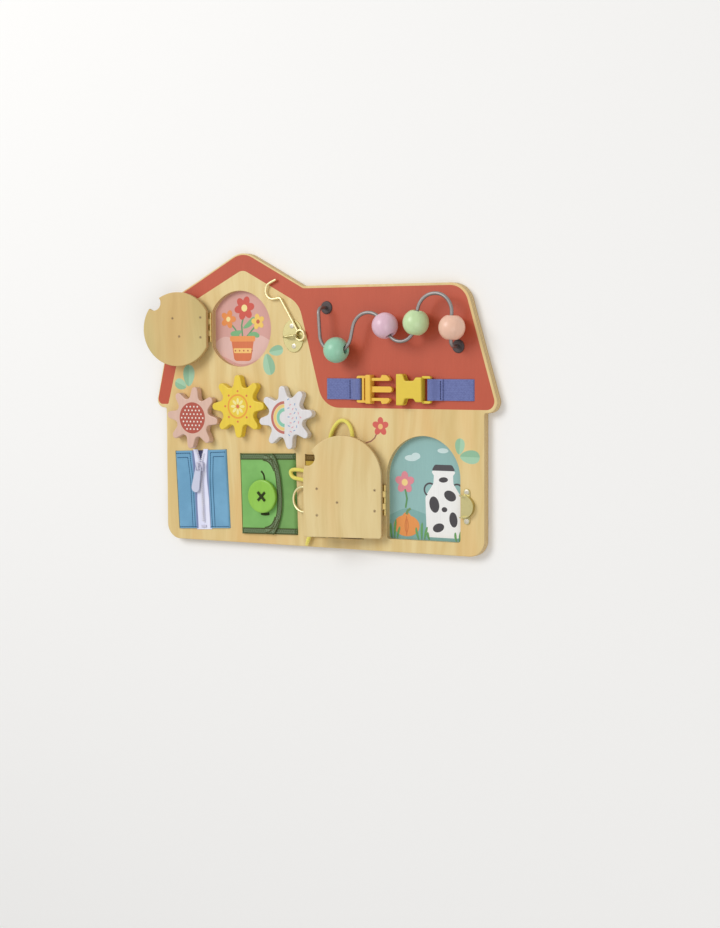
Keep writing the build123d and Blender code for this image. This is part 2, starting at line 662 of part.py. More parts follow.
def on_run(point, first, second):
    """The nearest point of a straight run."""
    run = Vector(*second) - Vector(*first)
    along = (Vector(*point) - Vector(*first)).dot(run) / run.length
    place = Vector(*first) + run.normalized() * along
    return place.X, place.Y


def valley_centre():
    """Centre of the first low bend of the wire, which the first bead turns about."""
    (left, radius), (right, _) = MAZE_CORNERS[0], MAZE_CORNERS[1]
    return (left[0] + right[0]) / 2 + bend_shift(), left[1] + radius


def bend_shift():
    """The first bend's two corners turn by different angles, which moves its middle."""
    corners = [corner for corner, _ in MAZE_CORNERS]
    radius = MAZE_CORNERS[0][1]
    turn_in = run_bearing(corners[0], corners[1]) - run_bearing(MAZE_START, corners[0])
    turn_out = run_bearing(corners[1], corners[2]) - run_bearing(corners[0], corners[1])
    reach_in, reach_out = (radius * math.tan(math.radians(turn) / 2) for turn in (turn_in, turn_out))
    return (reach_in - reach_out) / 2


def beads():
    """Four beads where they rest: one on the first bend, three on straight runs."""
    corners = [corner for corner, _ in MAZE_CORNERS]
    middle = valley_centre()
    inner = MAZE_CORNERS[0][1] - BEAD_CURVE_SHIFT
    runs = [(BEAD_TWO_AT, corners[2], corners[3]), (BEAD_THREE_AT, corners[3], corners[4]),
            (BEAD_FOUR_AT, corners[5], MAZE_END)]
    rest = [bead(polar(middle, inner, BEAD_ONE_ANGLE), BEAD_ONE_ANGLE + 90, BEAD_SAG_CURVE)]
    for point, first, second in runs:
        rest.append(bead(on_run(point, first, second), run_bearing(first, second), BEAD_SAG_STRAIGHT))
    return rest


# ---------------------------------------------------------------- buckle
def buckle_base_z():
    return FACE + BUCKLE_LIFT


def buckle_middle_z():
    return buckle_base_z() + BUCKLE_THICKNESS / 2


def bar_level():
    """Underside of the bars that the straps loop round."""
    return FACE + BUCKLE_BAR_LIFT


def strap_frame(bar_start, bar_end, x0, x1):
    """Side rails and an end bar for the strap."""
    z0, z1 = bar_level(), bar_level() + BUCKLE_BAR_HEIGHT
    frame = block(x0, x1, STRAP_Y - FRAME_HALF, STRAP_Y + FRAME_HALF, z0, z1 + 1.4)
    frame = fillet(frame.edges().filter_by(Axis.Z), 2.0)
    slot_lo, slot_hi = (bar_end, x1) if bar_start == x0 else (x0, bar_start)
    frame -= block(slot_lo, slot_hi, STRAP_Y - FRAME_SLOT_HALF, STRAP_Y + FRAME_SLOT_HALF, 0, 4 * FACE)
    frame -= block(bar_start, bar_end, STRAP_Y - FRAME_SLOT_HALF, STRAP_Y + FRAME_SLOT_HALF, z1, 4 * FACE)
    return frame


def male_body():
    """Strap frame, shoulder block and the middle guide prong."""
    z0 = buckle_base_z()
    half = MALE_WIDTH / 2
    shoulder_x = MALE_SHOULDER - 6.1
    shoulder = block(shoulder_x, MALE_SHOULDER, STRAP_Y - half, STRAP_Y + half, z0, z0 + BUCKLE_THICKNESS)
    shoulder = fillet(shoulder.edges(), BUCKLE_ROUND)
    body = shoulder + strap_frame(MALE_START, MALE_START + BUCKLE_END_BAR, MALE_START, shoulder_x + 1)
    lock_bar = shoulder_x - 5.2
    z_bar = bar_level()
    body += block(lock_bar, lock_bar + 2.2, STRAP_Y - FRAME_SLOT_HALF - 0.5, STRAP_Y + FRAME_SLOT_HALF + 0.5,
                  z_bar, z_bar + BUCKLE_BAR_HEIGHT + 1.4)
    middle = buckle_middle_z()
    prong = block(MALE_SHOULDER - 1, MALE_TIP, STRAP_Y - PRONG_WIDTH / 2, STRAP_Y + PRONG_WIDTH / 2,
                  middle - PRONG_THICKNESS / 2, middle + PRONG_THICKNESS / 2)
    prong = chamfer(prong.edges().filter_by(Axis.Z).sort_by(Axis.X)[-2:], 1.6)
    return body + prong


def male_arms():
    """Two springy arms with outward barbs, moulded in one with the male half."""
    middle = buckle_middle_z()
    root, outer = ARM_ROOT_Y, ARM_ROOT_Y + ARM_WIDTH
    x = MALE_SHOULDER
    corners = [(x, root), (x + 19.6, root), (x + 21.0, root + 1.6), (x + 17.6, ARM_BARB_Y - 0.6),
               (x + 12.0, ARM_BARB_Y), (x + 10.4, outer), (x, outer)]
    arm = prism(rounded_face(corners, [0.3, 1.2, 1.0, 2.4, 0.8, 0.8, 0.3]),
                middle - ARM_THICKNESS / 2, middle + ARM_THICKNESS / 2)
    upper = Pos(0, STRAP_Y, 0) * arm
    lower = Pos(0, STRAP_Y, 0) * mirror(arm, Plane.XZ)
    return upper, lower


def female_body():
    """Hollow receiver with side windows for the barbs and a strap frame."""
    z0, z1 = buckle_base_z(), buckle_base_z() + BUCKLE_THICKNESS
    half, waist = FEMALE_WIDTH / 2, FEMALE_WAIST / 2
    block_half = 12.0
    corners = [
        (FEMALE_MOUTH, -half), (FEMALE_RING_END, -half), (FEMALE_RING_END + 2.6, -waist),
        (FEMALE_BLOCK - 2.6, -waist), (FEMALE_BLOCK, -block_half), (FEMALE_BLOCK + 6.6, -block_half),
    ]
    corners += [(x, -y) for x, y in reversed(corners)]
    radii = [0.8, 2.0, 2.0, 2.0, 2.0, 1.0]
    shell = prism(Pos(0, STRAP_Y) * rounded_face(corners, radii + radii[::-1]), z0, z1)
    shell = fillet(top_edges(shell) + bottom_edges(shell), BUCKLE_ROUND)
    hollow_lo, hollow_hi = z0 + FEMALE_WALL, z1 - FEMALE_WALL
    shell -= block(FEMALE_MOUTH - 1, FEMALE_BLOCK, STRAP_Y - half + FEMALE_WALL, STRAP_Y + half - FEMALE_WALL,
                   hollow_lo, hollow_hi)
    deep = FEMALE_MOUTH + MALE_TIP - MALE_SHOULDER + 2 * AIR
    shell -= block(FEMALE_BLOCK - 1, deep, STRAP_Y - PRONG_WIDTH, STRAP_Y + PRONG_WIDTH, hollow_lo, hollow_hi)
    bar_start = FEMALE_END - BUCKLE_END_BAR
    return shell + strap_frame(bar_start, FEMALE_END, FEMALE_BLOCK + 5.0, FEMALE_END)


def strap(anchor_x, bar_x, way):
    """Webbing from its slot, round the buckle's end bar and back on itself; way is +1 to the right."""
    t = STRAP_THICKNESS
    z = FACE
    turn_z = bar_level() + BUCKLE_BAR_HEIGHT + AIR
    inner = bar_x + way * (BUCKLE_END_BAR + AIR)
    outer = inner + way * t
    lap_end = bar_x - way * (STRAP_LAP - 3.0)
    lap_rise = bar_x - way * 8.0
    over = bar_x - way * AIR * 4
    tail = BACK_TOP + AIR
    profile = [
        (anchor_x - way * t, tail), (anchor_x, tail), (anchor_x, z), (outer, z), (outer, turn_z + t),
        (over, turn_z + t), (lap_rise, z + 2 * t), (lap_end, z + 2 * t), (lap_end, z + t),
        (anchor_x, z + t), (anchor_x - way * t, z + t * 0.4),
    ]
    eye = [(lap_rise + way * 2.4, z + t), (inner, z + t), (inner, turn_z), (over, turn_z)]
    face = make_face(Polyline(*profile, close=True)) - make_face(Polyline(*eye, close=True))
    return extrude(Plane.XZ.offset(-(STRAP_Y - STRAP_WIDTH / 2)) * face, -STRAP_WIDTH)


# ---------------------------------------------------------------- fabric panels
def cloth_sheet(size, thickness, left=True, right=True):
    """A cloth laid on the board whose side edges go down into their slots."""
    half_x, half_y = size[0] / 2, size[1] / 2
    sheet = block(-half_x, half_x, -half_y, half_y, FACE, FACE + thickness)
    tail = BACK_TOP + AIR
    if left:
        sheet += block(-half_x, -half_x + thickness, -half_y, half_y, tail, FACE)
    if right:
        sheet += block(half_x - thickness, half_x, -half_y, half_y, tail, FACE)
    sheet_top = sheet.faces().sort_by(Axis.Z)[-1].edges().filter_by(Axis.Y)
    return fillet(sheet_top, thickness * 0.6)


def cloth_slots(centre, turn, size):
    """The two upright slots that a cloth's side edges go into."""
    cuts = []
    for side in (-1, 1):
        x = side * (size[0] / 2 - CLOTH_SLOT / 2 + AIR)
        cuts.append(placed(centre, turn) * block(
            x - CLOTH_SLOT / 2 - AIR / 2, x + CLOTH_SLOT / 2 + AIR / 2,
            -size[1] / 2 - AIR, size[1] / 2 + AIR, 0, 2 * FACE))
    return cuts


def zip_cloth():
    """Blue cloth in two halves either side of the zip tape."""
    sheet = cloth_sheet(ZIP_SIZE, ZIP_CLOTH)
    middle = block(-ZIP_TAPE_HALF, ZIP_TAPE_HALF, -ZIP_SIZE[1], ZIP_SIZE[1], 0, 3 * FACE)
    halves = (sheet - middle).solids()
    return [placed(ZIP_CENTRE, ZIP_TURN) * half for half in halves]


def v_half_width(v):
    """Half the tape's opening at a height above the panel's middle."""
    foot = ZIP_SIZE[1] / 2 - ZIP_V_DEPTH
    return max(0.0, ZIP_V_HALF * (v - foot) / ZIP_V_DEPTH)


def zip_tape():
    """The tape with its open V at the top."""
    top = ZIP_SIZE[1] / 2
    tape = block(-ZIP_TAPE_HALF, ZIP_TAPE_HALF, -top, top, FACE, FACE + ZIP_TAPE)
    opening = Polyline((-ZIP_V_HALF, top + 1), (ZIP_V_HALF, top + 1), (ZIP_V_HALF, top),
                       (0, top - ZIP_V_DEPTH), (-ZIP_V_HALF, top), close=True)
    tape -= prism(make_face(opening), FACE, FACE + ZIP_TAPE)
    return placed(ZIP_CENTRE, ZIP_TURN) * tape


def zip_teeth():
    """Two rows of teeth that mesh below the slider and part above it."""
    wide, long, tall = ZIP_TOOTH
    teeth = []
    low = ZIP_BOTTOM_V + 2 * ZIP_TOOTH_PITCH
    count = int((ZIP_SIZE[1] / 2 - long - low) / ZIP_TOOTH_PITCH) * 2
    for index in range(count):
        side = -1 if index % 2 else 1
        v = low + index * ZIP_TOOTH_PITCH / 2
        open_by = v_half_width(v + long)
        reach = 0.25 if open_by == 0 else -0.15
        inner = side * (open_by - reach)
        outer = inner + side * wide
        near, far = sorted((inner, outer))
        if v > ZIP_SIZE[1] / 2 - long:
            continue
        tooth = block(near, far, v, v + long * 0.8, FACE + ZIP_TAPE, FACE + ZIP_TAPE + tall)
        teeth.append(placed(ZIP_CENTRE, ZIP_TURN) * tooth)
    return teeth


def zip_stop():
    """The staple that joins the tape's two sides at its lower end."""
    low = FACE + ZIP_TAPE
    stop = block(-3.2, 3.2, ZIP_BOTTOM_V - 1.2, ZIP_BOTTOM_V + 1.2, low, low + ZIP_STOP_HEIGHT)
    return placed(ZIP_CENTRE, ZIP_TURN) * fillet(top_edges(stop), 0.4)


def zip_slider():
    """Slider with a channel over the teeth and a bridge for the puller."""
    roof = ZIP_SLIDER_ROOF
    deck = roof + 1.2
    v0, v1 = ZIP_SLIDER_V - ZIP_SLIDER_LENGTH / 2, ZIP_SLIDER_V + ZIP_SLIDER_LENGTH / 2
    narrow = ZIP_SLIDER_HALF - 0.7
    plan = [(-narrow, v0), (narrow, v0), (ZIP_SLIDER_HALF, v1), (-ZIP_SLIDER_HALF, v1)]
    body = prism(rounded_face(plan, [1.2, 1.2, 1.8, 1.8]), FACE + ZIP_TAPE + AIR, deck)
    body = fillet(top_edges(body), 0.4)
    channel = narrow - ZIP_SLIDER_WALL + 0.5
    body -= block(-channel, channel, v0 - 1, v1 + 1, 0, roof)
    arch_top = deck + BRIDGE_CLEAR + BRIDGE_LEG
    bridge = block(-BRIDGE_WIDTH / 2, BRIDGE_WIDTH / 2, ZIP_SLIDER_V - BRIDGE_HALF, ZIP_SLIDER_V + BRIDGE_HALF,
                   deck - 0.2, arch_top)
    bridge = fillet(bridge.edges().filter_by(Axis.X).group_by(Axis.Z)[-1], 1.2)
    bridge -= block(-BRIDGE_WIDTH, BRIDGE_WIDTH, ZIP_SLIDER_V - BRIDGE_HALF + BRIDGE_LEG,
                    ZIP_SLIDER_V + BRIDGE_HALF - BRIDGE_LEG, deck, deck + BRIDGE_CLEAR)
    return placed(ZIP_CENTRE, ZIP_TURN) * (body + bridge)


def puller_axis_z():
    return ZIP_SLIDER_ROOF + 1.2 + BRIDGE_CLEAR / 2


def zip_puller():
    """Teardrop puller with a window whose bar lies under the slider's bridge."""
    head = PULLER_WINDOW_HALF + PULLER_RAIL
    window = 4.6
    foot = PULLER_WIDTH / 2
    teardrop = Pos(0, -PULLER_LENGTH + foot) * Circle(foot) + make_face(Polyline(
        (-head, 0), (head, 0), (foot * 0.985, -PULLER_LENGTH + foot * 1.2),
        (-foot * 0.985, -PULLER_LENGTH + foot * 1.2), close=True))
    plate = prism(teardrop, -PULLER_THICKNESS / 2, PULLER_THICKNESS / 2)
    plate = fillet(top_edges(plate) + bottom_edges(plate), 0.35)
    plate -= block(-PULLER_WINDOW_HALF, PULLER_WINDOW_HALF, -window, 1, -2, 2)
    bar = Rot(0, 90, 0) * Cylinder(PULLER_BAR, 2 * head - 0.6)
    puller = Pos(0, ZIP_SLIDER_V, puller_axis_z()) * Rot(0, 0, -PULLER_TURN) * Rot(PULLER_DROOP, 0, 0) * (
        plate + bar)
    return placed(ZIP_CENTRE, ZIP_TURN) * puller


def flap_outline(thickness_inset=0.0):
    """The buttoned flap: straight at the slot side and D-shaped at the free side."""
    half_x, half_y = FLAP_SIZE[0] / 2, FLAP_SIZE[1] / 2
    corners = [(-half_x, -half_y), *[(x, share * half_y) for (x, share), _ in reversed(FLAP_EDGE)],
               (-half_x, half_y)]
    radii = [0.5, *[radius for _, radius in reversed(FLAP_EDGE)], 0.5]
    return rounded_face(corners, radii)


def button_local():
    """The button's middle in its panel's own frame."""
    dx, dy = BUTTON_AT[0] - FLAP_CENTRE[0], BUTTON_AT[1] - FLAP_CENTRE[1]
    return polar((0, 0), math.hypot(dx, dy), math.degrees(math.atan2(dy, dx)) - FLAP_TURN)


def button_flap():
    """The flap with its upright buttonhole."""
    flap = prism(flap_outline(), FACE + CLOTH, FACE + CLOTH + FLAP_THICKNESS)
    flap = fillet(top_edges(flap), 0.3)
    hole = Pos(*button_local()) * SlotOverall(BUTTONHOLE_LENGTH, BUTTONHOLE_WIDTH, rotation=90)
    flap -= prism(hole, FACE, 2 * FACE)
    return placed(FLAP_CENTRE, FLAP_TURN) * flap


def button_bottom():
    return FACE + CLOTH + FLAP_THICKNESS + BUTTON_LIFT


def thread_holes():
    return [polar((0, 0), BUTTON_HOLE_AT * math.sqrt(2), 45 + 90 * corner) for corner in range(4)]


def wooden_button():
    """A turned button with a shallow dish and four thread holes."""
    low = button_bottom()
    disc = rod(0, 0, low, low + BUTTON_THICKNESS, BUTTON_RADIUS)
    disc = fillet(top_edges(disc) + bottom_edges(disc), 1.4)
    dish_sphere = 160.0
    disc -= Pos(0, 0, low + BUTTON_THICKNESS - 0.6 + dish_sphere) * Sphere(dish_sphere)
    for spot in thread_holes():
        disc -= rod(*spot, low, low + BUTTON_THICKNESS, BUTTON_HOLE_RADIUS)
    return Pos(*BUTTON_AT) * disc


def button_thread():
    """A crossed stitch through the four holes and the shank down to the cloth."""
    low, high = button_bottom(), button_bottom() + BUTTON_THICKNESS
    spots = thread_holes()
    thread = rod(0, 0, FACE + CLOTH, low, THREAD_RADIUS * 1.4)
    for first, second in ((0, 2), (1, 3)):
        (x0, y0), (x1, y1) = spots[first], spots[second]
        stitch = [(x0, y0, low - 0.05), (x0, y0, high + THREAD_RADIUS), (x1, y1, high + THREAD_RADIUS),
                  (x1, y1, low - 0.05)]
        thread += tube(stitch, [THREAD_RADIUS * 1.2, THREAD_RADIUS * 1.2], THREAD_RADIUS)
        under = Pos(0, 0, low - 0.2) * Rot(0, 0, 45 + 90 * first)
        thread += under * Box(2 * math.hypot(x0, y0) + 1.4, 1.4, 0.4)
    return Pos(*BUTTON_AT) * thread


def lace_flaps():
    """Two facing flaps whose inner edges flare at top and bottom."""
    half_x, half_y = LACE_SIZE[0] / 2, LACE_SIZE[1] / 2
    flaps = []
    for side in (-1, 1):
        inner, flare = side * LACE_FLAP_INNER, side * LACE_FLAP_TOP
        shoulder = half_y - LACE_FLAP_CURVE
        corners = [(side * half_x, -half_y), (flare, -half_y), (inner, -shoulder), (inner, shoulder),
                   (flare, half_y), (side * half_x, half_y)]
        face = rounded_face(corners, [0.5, 1.5, 14.0, 14.0, 1.5, 0.5])
        flap = prism(face, FACE + CLOTH, FACE + 2 * CLOTH)
        flaps.append(placed(LACE_CENTRE, LACE_TURN) * flap)
    return flaps


def knot_block():
    return Pos(*KNOT_AT) * Box(*KNOT_SIZE)


def lace_knot():
    """The bow's knot as one rounded lump; its wraps are drawn with the looks."""
    return fillet(knot_block().edges(), KNOT_ROUND)


def cord(name, points):
    """A free cord; its bend radii are printed to show how tightly it turns."""
    radii = cord_radii(points)
    solid = tube(points, radii, LACE_RADIUS)
    path = FilletPolyline(*points, radius=radii)
    ratio = solid.volume / (math.pi * LACE_RADIUS ** 2 * path.length)
    print(name, "radii", [round(radius, 1) for radius in radii], "length", round(path.length, 1),
          "volume ratio", round(ratio, 4))
    return solid - knot_block()


# ---------------------------------------------------------------- boards
def barn_face():
    return rounded_face([corner for corner, _ in OUTLINE], [radius for _, radius in OUTLINE])


def back_panel():
    """Closing board; the pictures behind the doors are printed on its face."""
    panel = prism(barn_face(), 0, BACK_THICKNESS)
    return fillet(bottom_edges(panel), PLY_ROUND)


def board_screws():
    """Every screw spot on the front board, with the plate thickness that it clamps."""
    spots = []
    for axis_x, y in ((round_axis_x(), ROUND_HINGE_Y), (arch_axis_x(), ARCH_HINGE_Y)):
        spots += [(spot, HINGE_LEAF) for spot in hinge_screw_spots(axis_x, y, -1)]
    spots += [(spot, PLATE_THICKNESS) for spot in plate_screw_spots(HOOK_PLATE_AT, HOOK_PLATE_TURN)]
    spots += [(spot, LATCH_BASE) for spot in catch_screw_spots()]
    return spots


def front_panel():
    """Play board with its two door openings, slots, bores and screw holes."""
    panel = prism(barn_face(), BACK_TOP, FACE)
    panel = fillet(top_edges(panel), PLY_ROUND)
    panel -= prism(round_face(0), 0, 2 * FACE)
    panel -= prism(arch_face(0), 0, 2 * FACE)
    cuts = []
    for centre, turn, size in (
        (ZIP_CENTRE, ZIP_TURN, ZIP_SIZE), (FLAP_CENTRE, FLAP_TURN, FLAP_SIZE), (LACE_CENTRE, LACE_TURN, LACE_SIZE),
    ):
        cuts += cloth_slots(centre, turn, size)
    half = STRAP_WIDTH / 2 + SLOT_SPARE / 2
    for edge, way in ((STRAP_LEFT_X, 1), (STRAP_RIGHT_X, -1)):
        near, far = sorted((edge + way * AIR, edge - way * (SLOT_WIDTH - AIR)))
        cuts.append(block(near, far, STRAP_Y - half, STRAP_Y + half, 0, 2 * FACE))
    for centre in gear_centres().values():
        cuts.append(rod(*centre, 0, 2 * FACE, AXLE_RADIUS + RUNNING))
        cuts.append(rod(*centre, 0, BACK_TOP + COUNTERBORE_DEPTH, FLANGE_RADIUS + 1))
    for centre in (MAZE_START, MAZE_END):
        cuts.append(rod(*centre, 0, 2 * FACE, GROMMET_BARREL))
        cuts.append(rod(*centre, 0, BACK_TOP + COUNTERBORE_DEPTH, PUSH_NUT_RADIUS + AIR))
    cuts += [screw_bore(*spot, FACE, SCREW_DEPTH) for spot, _ in board_screws()]
    for cut in cuts:
        panel -= cut
    return panel


def door_screws(spots_and_heads):
    return [screw(*spot, FACE, head, SCREW_DEPTH) for spot, head in spots_and_heads]


def round_door_screw_spots():
    return [(spot, HINGE_LEAF) for spot in hinge_screw_spots(round_axis_x(), ROUND_HINGE_Y, 1)] + [
        (spot, PLATE_THICKNESS) for spot in plate_screw_spots(EYE_PLATE_AT, EYE_PLATE_TURN)]


def arch_door_screw_spots():
    return [(spot, HINGE_LEAF) for spot in hinge_screw_spots(arch_axis_x(), ARCH_HINGE_Y, 1)] + [
        (spot, LATCH_BASE) for spot in latch_screw_spots()]


def round_door():
    leaf = door_leaf(round_face(DOOR_GAP), polar(ROUND_CENTRE, ROUND_RADIUS - DOOR_GAP, ROUND_NOTCH_ANGLE))
    for spot, _ in round_door_screw_spots():
        leaf -= screw_bore(*spot, FACE, SCREW_DEPTH)
    return leaf


def arch_door():
    half = (ARCH_RIGHT - ARCH_LEFT) / 2
    centre = ((ARCH_LEFT + ARCH_RIGHT) / 2, ARCH_SPRING)
    leaf = door_leaf(arch_face(DOOR_GAP), polar(centre, half - DOOR_GAP, ARCH_NOTCH_ANGLE))
    for spot, _ in arch_door_screw_spots():
        leaf -= screw_bore(*spot, FACE, SCREW_DEPTH)
    return leaf


# ---------------------------------------------------------------- writing
def save_boards():
    save("back_panel", back_panel())
    save("front_panel", front_panel())
    save("board_screws", *[screw(*spot, FACE, head, SCREW_DEPTH) for spot, head in board_screws()])


def save_round_door():
    def rest(solid):
        return swung(solid, round_axis_x(), ROUND_TILT)

    save("round_door", rest(round_door()))
    save("round_hinge_board_leaf", hinge_leaf(round_axis_x(), ROUND_HINGE_Y, -1))
    save("round_hinge_door_leaf", rest(hinge_leaf(round_axis_x(), ROUND_HINGE_Y, 1)))
    save("round_hinge_pin", hinge_pin(round_axis_x(), ROUND_HINGE_Y))
    save("eye_plate", rest(staple_plate(EYE_PLATE_AT, EYE_PLATE_TURN)))
    save("round_door_screws", *[rest(one) for one in door_screws(round_door_screw_spots())])
    save("hook_plate", staple_plate(HOOK_PLATE_AT, HOOK_PLATE_TURN))
    save("wire_hook", wire_hook())


def save_arch_door():
    def rest(solid):
        return swung(solid, arch_axis_x(), ARCH_TILT)

    save("arch_door", rest(arch_door()))
    save("arch_hinge_board_leaf", hinge_leaf(arch_axis_x(), ARCH_HINGE_Y, -1))
    save("arch_hinge_door_leaf", rest(hinge_leaf(arch_axis_x(), ARCH_HINGE_Y, 1)))
    save("arch_hinge_pin", hinge_pin(arch_axis_x(), ARCH_HINGE_Y))
    save("arch_door_screws", *[rest(one) for one in door_screws(arch_door_screw_spots())])
    save("latch_base", rest(latch_base()))
    save("latch_pin", rest(latch_pin()))
    save("latch_lever", rest(lever_opened(latch_lever())))
    save("latch_bail", rest(placed_bail()))
    save("latch_catch", catch())


def save_gears():
    phases = {"pink": PINK_PHASE, "sun": SUN_PHASE, "white": WHITE_PHASE}
    centres = gear_centres()
    for name, centre in centres.items():
        save(f"{name}_gear", gear(centre, phases[name]))
        save(f"{name}_gear_axle", gear_axle(centre))
    save("gear_washers", *[gear_washer(centre) for centre in centres.values()])


def save_bead_maze():
    save("maze_wire", maze_wire())
    save("maze_grommets", grommet(MAZE_START), grommet(MAZE_END))
    save("maze_push_nuts", push_nut(MAZE_START), push_nut(MAZE_END))
    for name, solid in zip(("green_bead", "pink_bead", "lime_bead", "peach_bead"), beads()):
        save(name, solid)


def save_buckle():
    save("buckle_male", male_body())
    save("buckle_male_arms", *male_arms())
    save("buckle_female", female_body())
    save("strap_left", strap(STRAP_LEFT_X, MALE_START, 1))
    save("strap_right", strap(STRAP_RIGHT_X, FEMALE_END, -1))


def save_fabric():
    save("zip_cloth", *zip_cloth())
    save("zip_tape", zip_tape())
    save("zip_teeth", *zip_teeth())
    save("zip_stop", zip_stop())
    save("zip_slider", zip_slider())
    save("zip_puller", zip_puller())
    save("button_cloth", placed(FLAP_CENTRE, FLAP_TURN) * cloth_sheet(FLAP_SIZE, CLOTH))
    save("button_flap", button_flap())
    save("wooden_button", wooden_button())
    save("button_thread", button_thread())
    save("lace_cloth", placed(LACE_CENTRE, LACE_TURN) * cloth_sheet(LACE_SIZE, CLOTH))
    save("lace_flaps", *lace_flaps())


def save_lace():
    save("lace_knot", lace_knot())
    for name, points in (("lace_loop_left", LOOP_LEFT), ("lace_loop_up", LOOP_UP),
                         ("lace_tail_left", TAIL_LEFT), ("lace_tail_right", TAIL_RIGHT)):
        save(name, cord(name, points))


if __name__ == "__main__":
    os.makedirs("parts", exist_ok=True)
    save_boards()
    save_round_door()
    save_arch_door()
    save_gears()
    save_bead_maze()
    save_buckle()
    save_fabric()
    save_lace()
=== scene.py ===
"""Dresses the barn-shaped busy board: prints, paint, metal, cloth, webbing, lace and studio."""

import logging
import math
from dataclasses import dataclass, field
from enum import Enum
from typing import Callable, Iterable, Sequence

import bmesh
import bpy
from mathutils import Euler, Matrix, Vector, noise


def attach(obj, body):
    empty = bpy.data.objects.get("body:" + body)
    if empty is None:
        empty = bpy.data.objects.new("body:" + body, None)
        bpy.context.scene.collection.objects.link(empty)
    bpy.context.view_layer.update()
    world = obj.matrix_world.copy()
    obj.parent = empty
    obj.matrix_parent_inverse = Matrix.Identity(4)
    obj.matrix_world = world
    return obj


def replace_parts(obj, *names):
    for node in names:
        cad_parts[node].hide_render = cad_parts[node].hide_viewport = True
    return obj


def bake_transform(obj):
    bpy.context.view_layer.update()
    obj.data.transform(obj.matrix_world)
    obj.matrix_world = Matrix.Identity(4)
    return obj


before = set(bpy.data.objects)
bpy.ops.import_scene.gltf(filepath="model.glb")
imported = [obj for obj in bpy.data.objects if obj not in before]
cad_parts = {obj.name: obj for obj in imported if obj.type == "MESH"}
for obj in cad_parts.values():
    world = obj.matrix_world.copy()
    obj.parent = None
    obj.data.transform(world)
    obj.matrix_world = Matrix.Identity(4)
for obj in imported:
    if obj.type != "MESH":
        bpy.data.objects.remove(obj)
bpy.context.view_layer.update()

log = logging.getLogger("busy_board")

MM = 0.001
MM_PER_M = 1000
FULL_TURN = 2 * math.pi
FACE = 9.0
BACK_TOP = 3.0
DOOR_CLEARANCE = 0.3
CLOTH_LOW = FACE + 0.05
FLAP_LOW = FACE + 0.95
FLAP_START = 0.4
INK_PROUD = 0.03
INK_DEPTH = 0.04
INK_OVER = 0.02
INK_LAYER = 0.014
INK_PART = 0.003
INK_ANGLE = 20
METAL_ANGLE = 30
TURNED_ANGLE = 40
CLOTH_ANGLE = 60
FACING = 0.9
Point = tuple[float, float]
Place = tuple[float, float, float]
Tint = tuple[float, float, float]
Edge = Callable[[float], float]
Surface = Callable[[float, float], float]


def tint(red: int, green: int, blue: int) -> Tint:
    """Turns a screen colour into the linear colour that shaders use.

    Args:
        red: Red from 0 to 255.
        green: Green from 0 to 255.
        blue: Blue from 0 to 255.

    Returns:
        The three linear values.
    """
    def line(value: int) -> float:
        """Straightens one channel."""
        share = value / 255
        return share / 12.92 if share <= 0.04045 else ((share + 0.055) / 1.055) ** 2.4

    return line(red), line(green), line(blue)


def scaled(colour: Tint, factor: float, lift: float = 0.0) -> Tint:
    """Gives a darker or lighter shade of a colour."""
    return tuple(min(1.0, c * factor + lift) for c in colour)


# --------------------------------------------------------------------------- shader maths
def operator(operation: str, swapped: bool = False) -> "Callable[[Sock, Sock | float], Sock]":
    """Makes an arithmetic operator that adds one Math node.

    Args:
        operation: The node's operation.
        swapped: Whether the other term comes first.

    Returns:
        The operator as a method.
    """
    def method(self: "Sock", other: "Sock | float") -> "Sock":
        """Adds the node."""
        return self.math(operation, *((other, self) if swapped else (self, other)))

    return method


class Sock:
    """A value on a shader socket; arithmetic on it adds Math nodes."""

    __add__, __sub__, __mul__ = operator("ADD"), operator("SUBTRACT"), operator("MULTIPLY")
    __radd__, __rsub__ = operator("ADD", True), operator("SUBTRACT", True)

    def __init__(self, shader: "Shader", socket: bpy.types.NodeSocket) -> None:
        """Wraps a socket of a shader's tree."""
        self.shader = shader
        self.socket = socket

    def math(self, operation: str, *terms: "Sock | float") -> "Sock":
        """Adds one Math node, whose sockets the terms fill in order."""
        made = self.shader.node("ShaderNodeMath", {"operation": operation}, dict(enumerate(terms)))
        return self.shader.out(made)

    def __abs__(self) -> "Sock":
        """Drops the sign."""
        return self.math("ABSOLUTE", self)

    def sine(self) -> "Sock":
        """Takes the sine of radians."""
        return self.math("SINE", self)

    def wave(self) -> "Sock":
        """Swings from 0 to 1 as a sine of radians does."""
        return self.sine() * 0.5 + 0.5

    def fraction(self) -> "Sock":
        """Keeps what follows the point."""
        return self.math("FRACT", self)

    def ramp(self, low: float, high: float) -> "Sock":
        """Rises smoothly from 0 at low to 1 at high."""
        made = self.shader.node("ShaderNodeMapRange", {"interpolation_type": "SMOOTHSTEP"},
                                {0: self, 1: low, 2: high, 3: 0.0, 4: 1.0})
        return self.shader.out(made)


